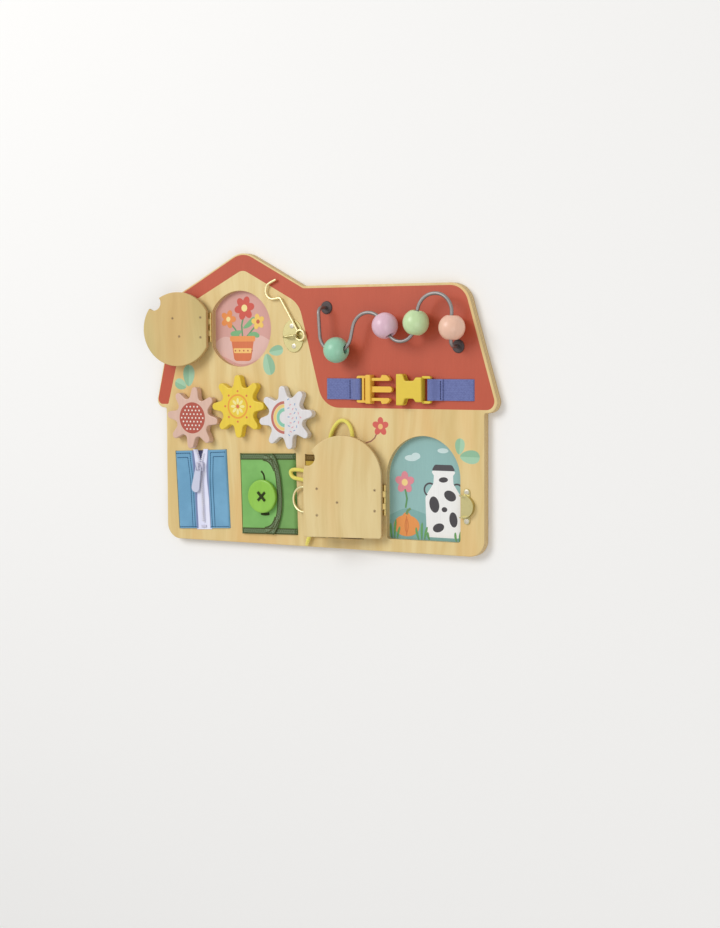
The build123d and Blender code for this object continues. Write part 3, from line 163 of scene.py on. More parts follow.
class Shader:
    """A material that is put together node by node."""

    def __init__(self, name: str) -> None:
        """Starts an empty material with an output."""
        self.material = bpy.data.materials.new(name)
        self.material.use_nodes = True
        self.tree = self.material.node_tree
        self.tree.nodes.clear()
        self.output = self.tree.nodes.new("ShaderNodeOutputMaterial")

    def node(self, kind: str, settings: dict | None = None, values: dict | None = None) -> bpy.types.Node:
        """Adds a node.

        Args:
            kind: The node's type.
            settings: Its properties, which are set first.
            values: Numbers, colours or sockets by input name or index.

        Returns:
            The new node.
        """
        made = self.tree.nodes.new(kind)
        for key, value in (settings or {}).items():
            setattr(made, key, value)
        for key, value in (values or {}).items():
            target = made.inputs[key]
            if isinstance(value, Sock):
                self.tree.links.new(value.socket, target)
            elif isinstance(value, tuple) and len(value) == 3 and target.type == "RGBA":
                target.default_value = (*value, 1.0)
            else:
                target.default_value = value
        return made

    def out(self, made: bpy.types.Node, which: int | str = 0) -> Sock:
        """Wraps one output of a node."""
        return Sock(self, made.outputs[which])

    def place(self, turn: float = 0.0, centre: Place = (0, 0, 0)) -> tuple[Sock, Sock, Sock, Sock]:
        """Reads the piece's own coordinates in millimetres, centred and turned about Z.

        Args:
            turn: Degrees that the pattern is turned by.
            centre: Middle of the pattern in millimetres.

        Returns:
            The vector and its three parts.
        """
        coordinates = self.out(self.node("ShaderNodeTexCoord"), "Object")
        shift = self.node("ShaderNodeVectorMath", {"operation": "SUBTRACT"},
                          {0: coordinates, 1: tuple(c * MM for c in centre)})
        mapped = self.node("ShaderNodeMapping", {}, {
            "Vector": self.out(shift), "Rotation": (0, 0, -math.radians(turn)), "Scale": (MM_PER_M,) * 3})
        vector = self.out(mapped)
        return (vector, *self.parts(vector))

    def parts(self, vector: Sock) -> tuple[Sock, Sock, Sock]:
        """Splits a vector."""
        split = self.node("ShaderNodeSeparateXYZ", {}, {0: vector})
        return self.out(split, 0), self.out(split, 1), self.out(split, 2)

    def joined(self, x: "Sock | float", y: "Sock | float", z: "Sock | float") -> Sock:
        """Makes a vector of three values."""
        return self.out(self.node("ShaderNodeCombineXYZ", {}, {0: x, 1: y, 2: z}))

    def along(self, vector: Sock, direction: Place) -> Sock:
        """Takes the part of a vector along a fixed direction."""
        dot = self.node("ShaderNodeVectorMath", {"operation": "DOT_PRODUCT"}, {0: vector, 1: direction})
        return self.out(dot, "Value")

    def clouds(self, vector: Sock, scale: float, detail: float = 3.0, rough: float = 0.55) -> Sock:
        """Reads a soft noise from 0 to 1, with repeats per unit, octaves and the share each keeps."""
        made = self.node("ShaderNodeTexNoise", {}, {
            "Vector": vector, "Scale": scale, "Detail": detail, "Roughness": rough})
        return self.out(made, 0)

    def blend(self, share: "Sock | float", first: "Sock | Tint", second: "Sock | Tint") -> Sock:
        """Mixes two colours, where the share says how much of the second shows."""
        made = self.node("ShaderNodeMix", {"data_type": "RGBA"}, {0: share, 6: first, 7: second})
        return self.out(made, 2)

    def bump(self, height: Sock, depth: float) -> Sock:
        """Turns a height from 0 to 1, which stands for a depth in millimetres, into a normal."""
        made = self.node("ShaderNodeBump", {}, {"Strength": 1.0, "Distance": depth * MM, "Height": height})
        return self.out(made)

    def surface(self, base: "Sock | Tint", rough: "Sock | float", normal: Sock | None = None,
                **fixed: float | tuple) -> None:
        """Closes the material with one principled surface.

        Args:
            base: Its colour.
            rough: Its roughness.
            normal: Its normal, if it has relief.
            fixed: Inputs by name, with underscores for spaces, that are the same all over.
        """
        values: dict = {"Base Color": base, "Roughness": rough}
        values.update({key.replace("_", " "): value for key, value in fixed.items()})
        if normal is not None:
            values["Normal"] = normal
        made = self.node("ShaderNodeBsdfPrincipled", {}, values)
        self.tree.links.new(made.outputs[0], self.output.inputs[0])


# --------------------------------------------------------------------------- finishes
@dataclass(frozen=True)
class Finish:
    """A look, which is drawn in a material of its own name."""

    name: str

    def build(self) -> bpy.types.Material:
        """Makes the material."""
        shader = Shader(self.name)
        self.draw(shader)
        return shader.material

    def draw(self, shader: Shader) -> None:
        """Draws the look."""
        raise NotImplementedError


@dataclass(frozen=True)
class Plywood(Finish):
    """Pale lacquered plywood with its layers open at the edge."""

    pale: Tint = tint(230, 208, 150)
    deep: Tint = tint(212, 180, 114)
    core: Tint = tint(188, 148, 98)
    warm: Tint = tint(226, 178, 108)
    glue: Tint = tint(120, 84, 52)
    facing: Place = (0.0, 0.0, 1.0)
    ply: float = 1.2

    def figure(self, shader: Shader) -> tuple[Sock, Sock, Sock]:
        """Draws the grain, which runs up the board.

        Args:
            shader: The material that it is drawn in.

        Returns:
            The broad figure, the fine streaks and the warm blush, each from 0 to 1.
        """
        _, x, y, z = shader.place()
        drift = shader.clouds(shader.joined(x * 0.012, y * 0.006, z * 0.01), 1.0, 2.0)
        broad = shader.clouds(shader.joined(x * 0.075 + drift * 3.0, y * 0.006, z * 0.06), 1.0, 3.0, 0.6)
        fine = shader.clouds(shader.joined(x * 1.3, y * 0.035, z * 1.0), 1.0, 4.0, 0.65)
        blush = shader.clouds(shader.joined(x * 0.022, y * 0.004, 3.0), 1.0, 2.0)
        return broad, fine, blush

    def edge_layers(self, shader: Shader, place: Sock) -> Sock:
        """Colours the plies and the glue lines that show at an edge."""
        depth = shader.along(place, self.facing) * (MM_PER_M / self.ply)
        layer = abs((depth * 0.5).fraction() - 0.5).ramp(0.22, 0.28)
        line = abs(depth.fraction() - 0.5).ramp(0.42, 0.48)
        return shader.blend(line * 0.55, shader.blend(layer, self.pale, self.core), self.glue)

    def draw(self, shader: Shader) -> None:
        """Draws the look."""
        broad, fine, blush = self.figure(shader)
        coordinates = shader.node("ShaderNodeTexCoord")
        facing = abs(shader.along(shader.out(coordinates, "Normal"), self.facing))
        edge = 1 - facing.ramp(0.35, 0.7)
        face = shader.blend(broad.ramp(0.3, 0.72) * 0.75 + fine * 0.2, self.pale, self.deep)
        face = shader.blend(blush.ramp(0.45, 0.72) * 0.55, face, self.warm)
        face = shader.blend(fine.ramp(0.62, 0.74) * 0.35, face, self.core)
        side = self.edge_layers(shader, shader.out(coordinates, "Object"))
        rough = 0.46 + fine * 0.14 + edge * 0.2
        relief = shader.bump(fine * 0.7 + broad * 0.3, 0.05)
        colour = shader.blend(edge, face, side)
        shader.surface(colour, rough, relief, Coat_Weight=0.12, Coat_Roughness=0.35)


@dataclass(frozen=True)
class Ink(Finish):
    """Flat printing ink that lets the wood's grain show a little."""

    colour: Tint
    shade: float = 0.10
    wood: Tint = tint(236, 214, 170)

    def draw(self, shader: Shader) -> None:
        """Draws the look."""
        vector, x, y, _ = shader.place()
        streak = shader.clouds(shader.joined(x * 1.2, y * 0.04, 0.0), 1.0, 4.0, 0.6)
        patch = shader.clouds(shader.joined(x * 0.03, y * 0.012, 0.0), 1.0, 2.0)
        screen = shader.clouds(vector, 4.0, 1.0)
        darker = scaled(self.colour, 1 - 2.2 * self.shade)
        lighter = scaled(self.colour, 1 + self.shade, 0.01)
        colour = shader.blend(streak * 0.5 + patch * 0.5, lighter, darker)
        colour = shader.blend(screen.ramp(0.64, 0.8) * 0.12, colour, self.wood)
        shader.surface(colour, 0.42 + streak * 0.16, shader.bump(streak, 0.03), Coat_Weight=0.1)


@dataclass(frozen=True)
class Paint(Finish):
    """Satin water paint on turned or routed wood."""

    colour: Tint
    rough: float = 0.36
    coat: float = 0.35
    relief: float = 0.035

    def draw(self, shader: Shader) -> None:
        """Draws the look."""
        vector, x, y, z = shader.place()
        fibre = shader.clouds(shader.joined(x * 0.35, y * 0.05, z * 0.35), 1.0, 4.0, 0.6)
        patch = shader.clouds(vector, 0.05, 2.0)
        peel = shader.clouds(vector, 1.4, 2.0)
        darker = scaled(self.colour, 0.86)
        colour = shader.blend(fibre.ramp(0.35, 0.75) * 0.55 + patch * 0.3, self.colour, darker)
        rough = self.rough + fibre * 0.1 + patch * 0.05
        shader.surface(colour, rough, shader.bump(peel * 0.6 + fibre * 0.4, self.relief),
                       Coat_Weight=self.coat, Coat_Roughness=0.22)


@dataclass(frozen=True)
class Metal(Finish):
    """Plated sheet or wire with a fine drawn texture."""

    colour: Tint
    rough: float = 0.28

    def draw(self, shader: Shader) -> None:
        """Draws the look."""
        vector, x, y, z = shader.place()
        drawn = shader.clouds(shader.joined(x * 6.0, y * 0.6, z * 6.0), 1.0, 3.0, 0.6)
        stain = shader.clouds(vector, 0.35, 3.0)
        colour = shader.blend(stain.ramp(0.45, 0.75) * 0.5, self.colour, scaled(self.colour, 0.78))
        rough = self.rough + drawn * 0.12 + stain * 0.1
        shader.surface(colour, rough, shader.bump(drawn, 0.012), Metallic=1.0)


@dataclass(frozen=True)
class Moulding(Finish):
    """Moulded plastic with a faint spark-eroded skin."""

    colour: Tint
    rough: float = 0.34

    def draw(self, shader: Shader) -> None:
        """Draws the look."""
        vector, _, _, _ = shader.place()
        skin = shader.clouds(vector, 3.5, 2.0)
        flow = shader.clouds(vector, 0.12, 2.0)
        colour = shader.blend(flow, self.colour, scaled(self.colour, 0.9))
        shader.surface(colour, self.rough + skin * 0.12, shader.bump(skin, 0.02), IOR=1.5)


class Weave(Enum):
    """How a cloth's threads cross."""

    TWILL = "twill"
    PLAIN = "plain"
    FELT = "felt"
    TAPE = "tape"


@dataclass(frozen=True)
class Cloth(Finish):
    """Woven or felted cloth whose threads follow the panel that it is cut for; a facing colour paints shade
    on its turned-down fold.
    """

    warp: Tint
    weft: Tint
    weave: Weave
    pitch: float = 0.9
    turn: float = 0.0
    centre: Place = (0.0, 0.0, 0.0)
    # facing is a painted shade colour for the turned-down fold, not the cloth's own colour.
    facing: Tint | None = None
    fold: tuple[float, float] = (9.4, 1.2)

    def threads(self, shader: Shader, u: Sock, v: Sock) -> Sock:
        """Draws the threads' height.

        Args:
            shader: The material that it is drawn in.
            u: Millimetres across the cloth.
            v: Millimetres along the cloth.

        Returns:
            The height from 0 to 1.
        """
        full = FULL_TURN / self.pitch
        if self.weave is Weave.TWILL:
            return ((u + v) * full).wave() * 0.7 + ((u - v) * (full * 1.7)).wave() * 0.3
        if self.weave is Weave.TAPE:
            chevron = ((v + abs((u * 0.22).fraction() - 0.5) * 3.0) * full).wave()
            return (u * full).wave() * 0.4 + chevron * 0.6
        if self.weave is Weave.PLAIN:
            return ((u * full).sine() * (v * full).sine()) * 0.5 + 0.5
        return shader.clouds(shader.joined(u, v, 0.0), 1.6 / self.pitch, 4.0, 0.7)

    def draw(self, shader: Shader) -> None:
        """Draws the look."""
        vector, u, v, z = shader.place(self.turn, self.centre)
        wander = shader.clouds(vector, 0.25, 2.0) * 0.35
        height = self.threads(shader, u + wander, v + wander)
        slub = shader.clouds(shader.joined(u * 0.3, v * 2.2, z), 1.0, 3.0)
        fuzz = shader.clouds(vector, 5.0, 2.0)
        wash = shader.clouds(vector, 0.045, 2.0)
        colour = shader.blend(height * 0.75 + slub * 0.25, self.weft, self.warp)
        colour = shader.blend(wash.ramp(0.35, 0.8) * 0.35, colour, scaled(self.warp, 1.25, 0.02))
        # Painted shade: inside the fold's edge the cloth takes the darker facing colour, for the shade on the
        # fold that turns down to the tape.
        if self.facing is not None:
            beyond = abs(u) - (v.ramp(5.0, 40.0) * self.fold[1] + self.fold[0])
            turned = shader.blend(height * 0.3, self.facing, scaled(self.facing, 0.7))
            colour = shader.blend(beyond.ramp(-0.5, 0.4), turned, colour)
        relief = height * 0.7 + fuzz * 0.3
        shader.surface(colour, 0.86 + slub * 0.1, shader.bump(relief, 0.10),
                       Sheen_Weight=0.25, Sheen_Roughness=0.5, Specular_IOR_Level=0.25)


@dataclass(frozen=True)
class Webbing(Finish):
    """Narrow webbing whose ribs follow its own length, from the strip's map."""

    warp: Tint
    weft: Tint
    rib: float = 1.5

    def draw(self, shader: Shader) -> None:
        """Draws the look."""
        mapped = shader.out(shader.node("ShaderNodeUVMap", {"uv_map": "strip"}))
        length, width, _ = shader.parts(mapped)
        full = FULL_TURN / self.rib
        slant = abs((width * (1 / (2 * self.rib))).fraction() - 0.5) * (2 * self.rib)
        rib = ((length + slant) * full).wave()
        rows = (width * full).wave()
        vector, _, _, _ = shader.place()
        fuzz = shader.clouds(vector, 4.0, 2.0)
        wear = shader.clouds(vector, 0.55, 3.0, 0.7)
        colour = shader.blend(rib * 0.55 + rows * 0.2 + fuzz * 0.25, self.weft, self.warp)
        colour = shader.blend(wear.ramp(0.4, 0.68) * 0.35, colour, scaled(self.weft, 0.62))
        relief = rib * 0.6 + rows * 0.25 + fuzz * 0.15
        shader.surface(colour, 0.78 + fuzz * 0.12, shader.bump(relief, 0.16),
                       Sheen_Weight=0.2, Specular_IOR_Level=0.3)


@dataclass(frozen=True)
class Braid(Finish):
    """Round braided lace, read from the cord's own map."""

    bright: Tint
    deep: Tint
    length: float
    strands: int = 8
    step: float = 1.7

    def draw(self, shader: Shader) -> None:
        """Draws the look."""
        mapped = shader.out(shader.node("ShaderNodeUVMap", {"uv_map": "UVMap"}))
        first, second, _ = shader.parts(mapped)
        run = first * (FULL_TURN * self.length / (2 * self.step))
        girth = second * (FULL_TURN * self.strands / 2)
        plait = ((run + girth).sine() * (run - girth).sine()) * 0.5 + 0.5
        vector, _, _, _ = shader.place()
        fuzz = shader.clouds(vector, 4.0, 2.0)
        colour = shader.blend(plait * 0.7 + fuzz * 0.3, self.deep, self.bright)
        shader.surface(colour, 0.8 + fuzz * 0.12, shader.bump(plait * 0.75 + fuzz * 0.25, 0.22),
                       Sheen_Weight=0.3, Specular_IOR_Level=0.3)


@dataclass(frozen=True)
class Thread(Finish):
    """Sewing thread with a visible twist."""

    colour: Tint

    def draw(self, shader: Shader) -> None:
        """Draws the look."""
        vector, x, y, z = shader.place()
        twist = ((x + y + z) * 9.0).wave()
        fuzz = shader.clouds(vector, 6.0, 2.0)
        colour = shader.blend(twist * 0.6 + fuzz * 0.4, self.colour, scaled(self.colour, 0.6))
        shader.surface(colour, 0.8 + fuzz * 0.1, shader.bump(twist, 0.06), Specular_IOR_Level=0.3)


class Palette:
    """Every finish on the board, each made once."""

    def __init__(self) -> None:
        """Makes nothing yet."""
        self.made: dict[str, bpy.types.Material] = {}

    def get(self, finish: Finish) -> bpy.types.Material:
        """Gives a finish's material, made the first time."""
        if finish.name not in self.made:
            self.made[finish.name] = finish.build()
        return self.made[finish.name]


palette = Palette()

PALE_BRASS = Metal("pale_brass_plate", tint(194, 184, 132), 0.28)
WIRE_BRASS = Metal("pale_brass_wire", tint(238, 226, 176), 0.26)
HINGE_BRASS = Metal("hinge_brass", tint(208, 184, 120), 0.32)
MAZE_STEEL = Metal("maze_wire_steel", tint(146, 141, 138), 0.38)
SCREW_ZINC = Metal("screw_zinc", tint(206, 200, 184), 0.30)


# --------------------------------------------------------------------------- modelling tools
class Pick(Enum):
    """What a selection is made of."""

    FACES = "FACE"
    EDGES = "EDGE"
    VERTS = "VERT"


def nothing_selected() -> None:
    """Leaves edit mode and deselects every object."""
    if bpy.context.object is not None and bpy.context.object.mode != "OBJECT":
        bpy.ops.object.mode_set(mode="OBJECT")
    bpy.ops.object.select_all(action="DESELECT")


def only(obj: bpy.types.Object) -> None:
    """Makes one object the selected and active one."""
    nothing_selected()
    obj.select_set(True)
    bpy.context.view_layer.objects.active = obj


def upward(_: Vector, normal: Vector) -> bool:
    """Says yes where a face looks up."""
    return normal.z > FACING


def downward(_: Vector, normal: Vector) -> bool:
    """Says yes where a face looks down."""
    return normal.z < -FACING


def everything(_: Vector, __: Vector) -> bool:
    """Says yes everywhere."""
    return True


def linked(name: str, data: bpy.types.ID) -> bpy.types.Object:
    """Puts new data into the scene as an object."""
    obj = bpy.data.objects.new(name, data)
    bpy.context.scene.collection.objects.link(obj)
    return obj


def shift_to(place: Sequence[float]) -> Matrix:
    """Gives the matrix in metres that moves the origin to a place in millimetres."""
    return Matrix.Translation([c * MM for c in place])


class Piece:
    """One modelled piece: a primitive that edit-mode tools shape into its form."""

    def __init__(self, obj: bpy.types.Object, name: str) -> None:
        """Takes a new object and names it."""
        self.obj = obj
        obj.name = name
        obj.data.name = name

    @classmethod
    def cube(cls, name: str, low: Place, high: Place) -> "Piece":
        """Adds a box between two corners in millimetres.

        Args:
            name: The piece's name.
            low: Lowest corner.
            high: Highest corner.

        Returns:
            The piece, ready to be shaped.
        """
        nothing_selected()
        centre = [(a + b) / 2 * MM for a, b in zip(low, high)]
        bpy.ops.mesh.primitive_cube_add(size=1, location=centre)
        bpy.context.object.scale = [(b - a) * MM for a, b in zip(low, high)]
        return cls(bpy.context.object, name).settled()

    @classmethod
    def drum(cls, name: str, centre: Place, radius: float, depth: float, sides: int = 32) -> "Piece":
        """Adds an upright cylinder that stands on its centre point, in millimetres.

        Args:
            name: The piece's name.
            centre: Middle of its lower face.
            radius: Its radius.
            depth: Its height.
            sides: Facets round it.

        Returns:
            The piece, ready to be shaped.
        """
        nothing_selected()
        x, y, z = centre
        bpy.ops.mesh.primitive_cylinder_add(
            vertices=sides, radius=radius * MM, depth=depth * MM,
            location=(x * MM, y * MM, (z + depth / 2) * MM))
        return cls(bpy.context.object, name).settled()

    @classmethod
    def ring(cls, name: str, centre: Place, radius: float, thickness: float, sides: int = 32) -> "Piece":
        """Adds a flat-lying ring of round wire, in millimetres.

        Args:
            name: The piece's name.
            centre: Its middle.
            radius: Radius of the wire's centreline.
            thickness: The wire's own radius.
            sides: Facets round the ring.

        Returns:
            The piece, ready to be shaped.
        """
        nothing_selected()
        bpy.ops.mesh.primitive_torus_add(
            major_segments=sides, minor_segments=10, major_radius=radius * MM, minor_radius=thickness * MM,
            location=[c * MM for c in centre])
        return cls(bpy.context.object, name).settled()

    @classmethod
    def grid(cls, name: str, columns: int, rows: int, shape: Callable[[float, float], Place]) -> "Piece":
        """Adds a grid and moves each of its points to where a cloth's cut puts it.

        Args:
            name: The piece's name.
            columns: Squares across.
            rows: Squares along.
            shape: Gives a point in millimetres for shares across and along, each from 0 to 1.

        Returns:
            The piece with a map named strip, in shares.
        """
        nothing_selected()
        bpy.ops.mesh.primitive_grid_add(x_subdivisions=columns, y_subdivisions=rows, size=1)
        piece = cls(bpy.context.object, name)
        mesh = piece.obj.data
        mesh.uv_layers[0].name = "strip"
        shares = [(v.co.x + 0.5, v.co.y + 0.5) for v in mesh.vertices]
        for vertex, (across, along) in zip(mesh.vertices, shares):
            vertex.co = Vector(shape(across, along)) * MM
        mesh.update()
        return piece

    @classmethod
    def outline(cls, name: str, loops: Sequence[Sequence[Point]], low: float, high: float) -> "Piece":
        """Fills flat outlines and gives them a thickness; an outline inside another is a hole.

        Args:
            name: The piece's name.
            loops: Closed outlines in millimetres.
            low: Height of the lower face.
            high: Height of the upper face.

        Returns:
            The piece as a closed mesh.
        """
        nothing_selected()
        flat = bpy.data.curves.new(name, "CURVE")
        flat.dimensions, flat.fill_mode, flat.extrude = "2D", "BOTH", (high - low) / 2 * MM
        for loop in loops:
            spline = flat.splines.new("POLY")
            spline.points.add(len(loop) - 1)
            for target, (x, y) in zip(spline.points, loop):
                target.co = (x * MM, y * MM, 0, 1)
            spline.use_cyclic_u = True
        obj = linked(name, flat)
        obj.location.z = (low + high) / 2 * MM
        only(obj)
        bpy.ops.object.convert(target="MESH")
        return cls(bpy.context.object, name).settled().mended()

    def settled(self) -> "Piece":
        """Puts the piece's place, turn and size into its mesh."""
        only(self.obj)
        bpy.ops.object.transform_apply(location=True, rotation=True, scale=True)
        return self

    def edit(self) -> bmesh.types.BMesh:
        """Enters edit mode and gives the edit mesh."""
        if self.obj.mode != "EDIT":
            only(self.obj)
            bpy.ops.object.mode_set(mode="EDIT")
        return bmesh.from_edit_mesh(self.obj.data)

    def pick(self, kind: Pick, test: Callable[[Vector, Vector], bool]) -> "Piece":
        """Selects by place and normal.

        Args:
            kind: What to select.
            test: Says yes for a middle point in millimetres and a normal.

        Returns:
            The same piece.
        """
        self.edit()
        bpy.ops.mesh.select_mode(type=kind.value)
        bpy.ops.mesh.select_all(action="DESELECT")
        edit = bmesh.from_edit_mesh(self.obj.data)
        edit.normal_update()
        if kind is Pick.FACES:
            for face in edit.faces:
                face.select = test(face.calc_center_median() * MM_PER_M, face.normal)
        elif kind is Pick.EDGES:
            for one in edit.edges:
                a, b = one.verts
                one.select = test((a.co + b.co) / 2 * MM_PER_M, (a.normal + b.normal) / 2)
        else:
            for vertex in edit.verts:
                vertex.select = test(vertex.co * MM_PER_M, vertex.normal)
        edit.select_flush_mode()
        bmesh.update_edit_mesh(self.obj.data)
        return self

    def bevel(self, width: float, segments: int = 3) -> "Piece":
        """Rounds the selected edges by a width in millimetres."""
        bpy.ops.mesh.bevel(offset=width * MM, segments=segments, profile=0.5, clamp_overlap=True)
        return self

    def inset(self, width: float) -> "Piece":
        """Insets the selected faces by a width in millimetres."""
        bpy.ops.mesh.inset(thickness=width * MM, use_even_offset=True)
        return self

    def push(self, move: Place) -> "Piece":
        """Extrudes the selection and moves it, in millimetres."""
        bpy.ops.mesh.extrude_region_move(TRANSFORM_OT_translate={"value": [c * MM for c in move]})
        return self

    def shift(self, move: Place) -> "Piece":
        """Moves the selection, in millimetres."""
        bpy.ops.transform.translate(value=[c * MM for c in move])
        return self

    def squeeze(self, factors: Place) -> "Piece":
        """Scales the selection about its own middle."""
        bpy.ops.transform.resize(value=factors)
        return self

    def mended(self) -> "Piece":
        """Merges doubled points and turns every face outwards."""
        self.edit()
        bpy.ops.mesh.select_all(action="SELECT")
        bpy.ops.mesh.remove_doubles(threshold=0.000001)
        bpy.ops.mesh.normals_make_consistent(inside=False)
        bpy.ops.object.mode_set(mode="OBJECT")
        return self

    def shaped(self) -> bpy.types.Object:
        """Leaves edit mode and gives the object."""
        bpy.ops.object.mode_set(mode="OBJECT")
        return self.obj

    def with_modifier(self, kind: str, **settings: object) -> "Piece":
        """Adds a modifier and applies it.

        Args:
            kind: The modifier's type.
            settings: Its properties.

        Returns:
            The same piece.
        """
        only(self.obj)
        added = self.obj.modifiers.new(kind.lower(), kind)
        for key, value in settings.items():
            setattr(added, key, value)
        bpy.ops.object.modifier_apply(modifier=added.name)
        return self

    def joined(self, other: "Piece") -> "Piece":
        """Takes another piece's mesh into this one."""
        only(self.obj)
        other.obj.select_set(True)
        bpy.ops.object.join()
        return self

    def moved(self, matrix: Matrix) -> "Piece":
        """Moves the whole mesh by a matrix in metres."""
        nothing_selected()
        self.obj.data.transform(matrix)
        self.obj.data.update()
        return self

    def done(self, finish: Finish, body: str, slot: str | None, angle: float) -> bpy.types.Object:
        """Shades, dresses and attaches the piece.

        Args:
            finish: Its finish.
            body: The body that it rides on.
            slot: Not used.
            angle: Degrees below which an edge is shaded smooth.

        Returns:
            The finished object.
        """
        only(self.obj)
        bpy.ops.object.shade_smooth_by_angle(angle=math.radians(angle))
        self.obj.data.materials.clear()
        self.obj.data.materials.append(palette.get(finish))
        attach(self.obj, body)
        nothing_selected()
        return self.obj


def copies(name: str, model: bpy.types.Object, places: Iterable[Matrix]) -> Piece:
    """Repeats a modelled shape at many places as one piece, and removes the model.

    Args:
        name: The new piece's name.
        model: The shape, modelled about the origin.
        places: A matrix in metres for each copy.

    Returns:
        The joined copies.
    """
    nothing_selected()
    gathered = bmesh.new()
    for place in places:
        one = model.data.copy()
        one.transform(place)
        if place.determinant() < 0:
            one.flip_normals()
        gathered.from_mesh(one)
        bpy.data.meshes.remove(one)
    mesh = bpy.data.meshes.new(name)
    gathered.to_mesh(mesh)
    gathered.free()
    bpy.data.objects.remove(model)
    return Piece(linked(name, mesh), name)


def dress(node: str, finish: Finish, angle: float | None = None) -> None:
    """Gives a frame node its finish.

    Args:
        node: The node's name.
        finish: The finish.
        angle: Degrees below which its edges are shaded smooth, if that is to change.
    """
    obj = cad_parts[node]
    if not obj.material_slots:
        obj.data.materials.append(None)
    for slot in obj.material_slots:
        slot.material = palette.get(finish)
    if angle is not None:
        only(obj)
        bpy.ops.object.shade_smooth_by_angle(angle=math.radians(angle))
        nothing_selected()


# --------------------------------------------------------------------------- outlines
def around(centre: Point, radius: float, degrees: float) -> Point:
    """Gives the point at a radius and bearing."""
    turn = math.radians(degrees)
    return centre[0] + radius * math.cos(turn), centre[1] + radius * math.sin(turn)


def turned(x: float, y: float, degrees: float) -> Point:
    """Turns a point about the origin."""
    c, s = math.cos(math.radians(degrees)), math.sin(math.radians(degrees))
    return x * c - y * s, x * s + y * c


def steps(start: float, end: float, count: int) -> list[float]:
    """Gives evenly spaced values from start to end."""
    return [start + (end - start) * k / count for k in range(count + 1)]


def between(points: Sequence[Point], height: float) -> float:
    """Reads a width off a line of points.

    Args:
        points: Heights and the width at each, upwards.
        height: Where it is read.

    Returns:
        The width, which stays the same beyond the ends.
    """
    for (v0, u0), (v1, u1) in zip(points, points[1:]):
        if height <= v1:
            return u0 + (u1 - u0) * max(0.0, (height - v0) / (v1 - v0))
    return points[-1][1]


def circle(centre: Point, radius: float, count: int = 48) -> list[Point]:
    """Gives a round outline."""
    return [around(centre, radius, 360 * i / count) for i in range(count)]


def oval(centre: Point, long: float, short: float, turn: float = 0.0, count: int = 40) -> list[Point]:
    """Gives an oval outline.

    Args:
        centre: Its middle.
        long: Half its length.
        short: Half its width.
        turn: Degrees that its length is turned by.
        count: Points round it.

    Returns:
        The outline.
    """
    points = []
    for i in range(count):
        a = FULL_TURN * i / count
        x, y = turned(long * math.cos(a), short * math.sin(a), turn)
        points.append((centre[0] + x, centre[1] + y))
    return points


def petals(centre: Point, reach: float, size: Point, count: int, first: float = 0.0) -> list[list[Point]]:
    """Gives a ring of oval petals, the first at a bearing in degrees."""
    bearings = [360 / count * i + first for i in range(count)]
    return [oval(around(centre, reach, bearing), *size, bearing) for bearing in bearings]


def leaf(foot: Point, tip: Point, width: float, lean: float = 0.0, half: bool = False,
         count: int = 18) -> list[Point]:
    """Gives the outline of a leaf that is broadest past its middle, with a round tip.

    Args:
        foot: Where its stalk is.
        tip: Its far end.
        width: Its greatest width.
        lean: How far its middle bows to the left, in millimetres.
        half: Whether only its left half is wanted, up to the midrib.
        count: Points along each side.

    Returns:
        The outline.
    """
    start, end = Vector(foot), Vector(tip)
    run = end - start
    side = Vector((-run.y, run.x)).normalized()
    out, back = [], []
    for i in range(count + 1):
        t = (1 - math.cos(math.pi * i / count)) / 2
        swell = math.sqrt(4 * t * (1 - t)) * (0.72 + 0.4 * t) * width / 2
        middle = start + run * t + side * (lean * math.sin(math.pi * t))
        out.append(tuple(middle + side * swell))
        back.append(tuple(middle - side * (0.0 if half else swell)))
    return out + back[-2:0:-1]


def band(points: Sequence[Point], width: float, taper: float = 1.0) -> list[Point]:
    """Gives the outline of a line drawn with a width.

    Args:
        points: The line.
        width: Its width at the start.
        taper: Share of the width that is left at the end.

    Returns:
        The outline.
    """
    left, right = [], []
    last = len(points) - 1
    for i, point in enumerate(points):
        before, after = Vector(points[max(i - 1, 0)]), Vector(points[min(i + 1, last)])
        run = (after - before).normalized()
        side = Vector((-run.y, run.x)) * (width / 2 * (1 + (taper - 1) * i / last))
        left.append(tuple(Vector(point) + side))
        right.append(tuple(Vector(point) - side))
    return left + right[::-1]


def softened(corners: Sequence[tuple[float, float, float]]) -> list[Point]:
    """Rounds a closed outline.

    Args:
        corners: x, y and the radius of each corner.

    Returns:
        The outline with arcs at its corners.
    """
    points: list[Point] = []
    count = len(corners)
    for i, (x, y, radius) in enumerate(corners):
        here = Vector((x, y))
        to_last = (Vector(corners[i - 1][:2]) - here).normalized()
        to_next = (Vector(corners[(i + 1) % count][:2]) - here).normalized()
        angle = to_last.angle(to_next)
        if radius <= 0 or angle > math.pi - 0.02:
            points.append((x, y))
            continue
        reach = radius / math.tan(angle / 2)
        start, end = here + to_last * reach, here + to_next * reach
        middle = here + (to_last + to_next).normalized() * (radius / math.sin(angle / 2))
        first = math.atan2(start.y - middle.y, start.x - middle.x)
        sweep = math.atan2(end.y - middle.y, end.x - middle.x) - first
        sweep = (sweep + math.pi) % FULL_TURN - math.pi
        count_here = max(3, int(abs(sweep) / math.radians(7)))
        points += [(middle.x + radius * math.cos(bearing), middle.y + radius * math.sin(bearing))
                   for bearing in steps(first, first + sweep, count_here)]
    return points


def arc(centre: Point, radius: float, start: float, end: float, count: int = 24) -> list[Point]:
    """Gives points along an arc between two bearings."""
    return [around(centre, radius, bearing) for bearing in steps(start, end, count)]


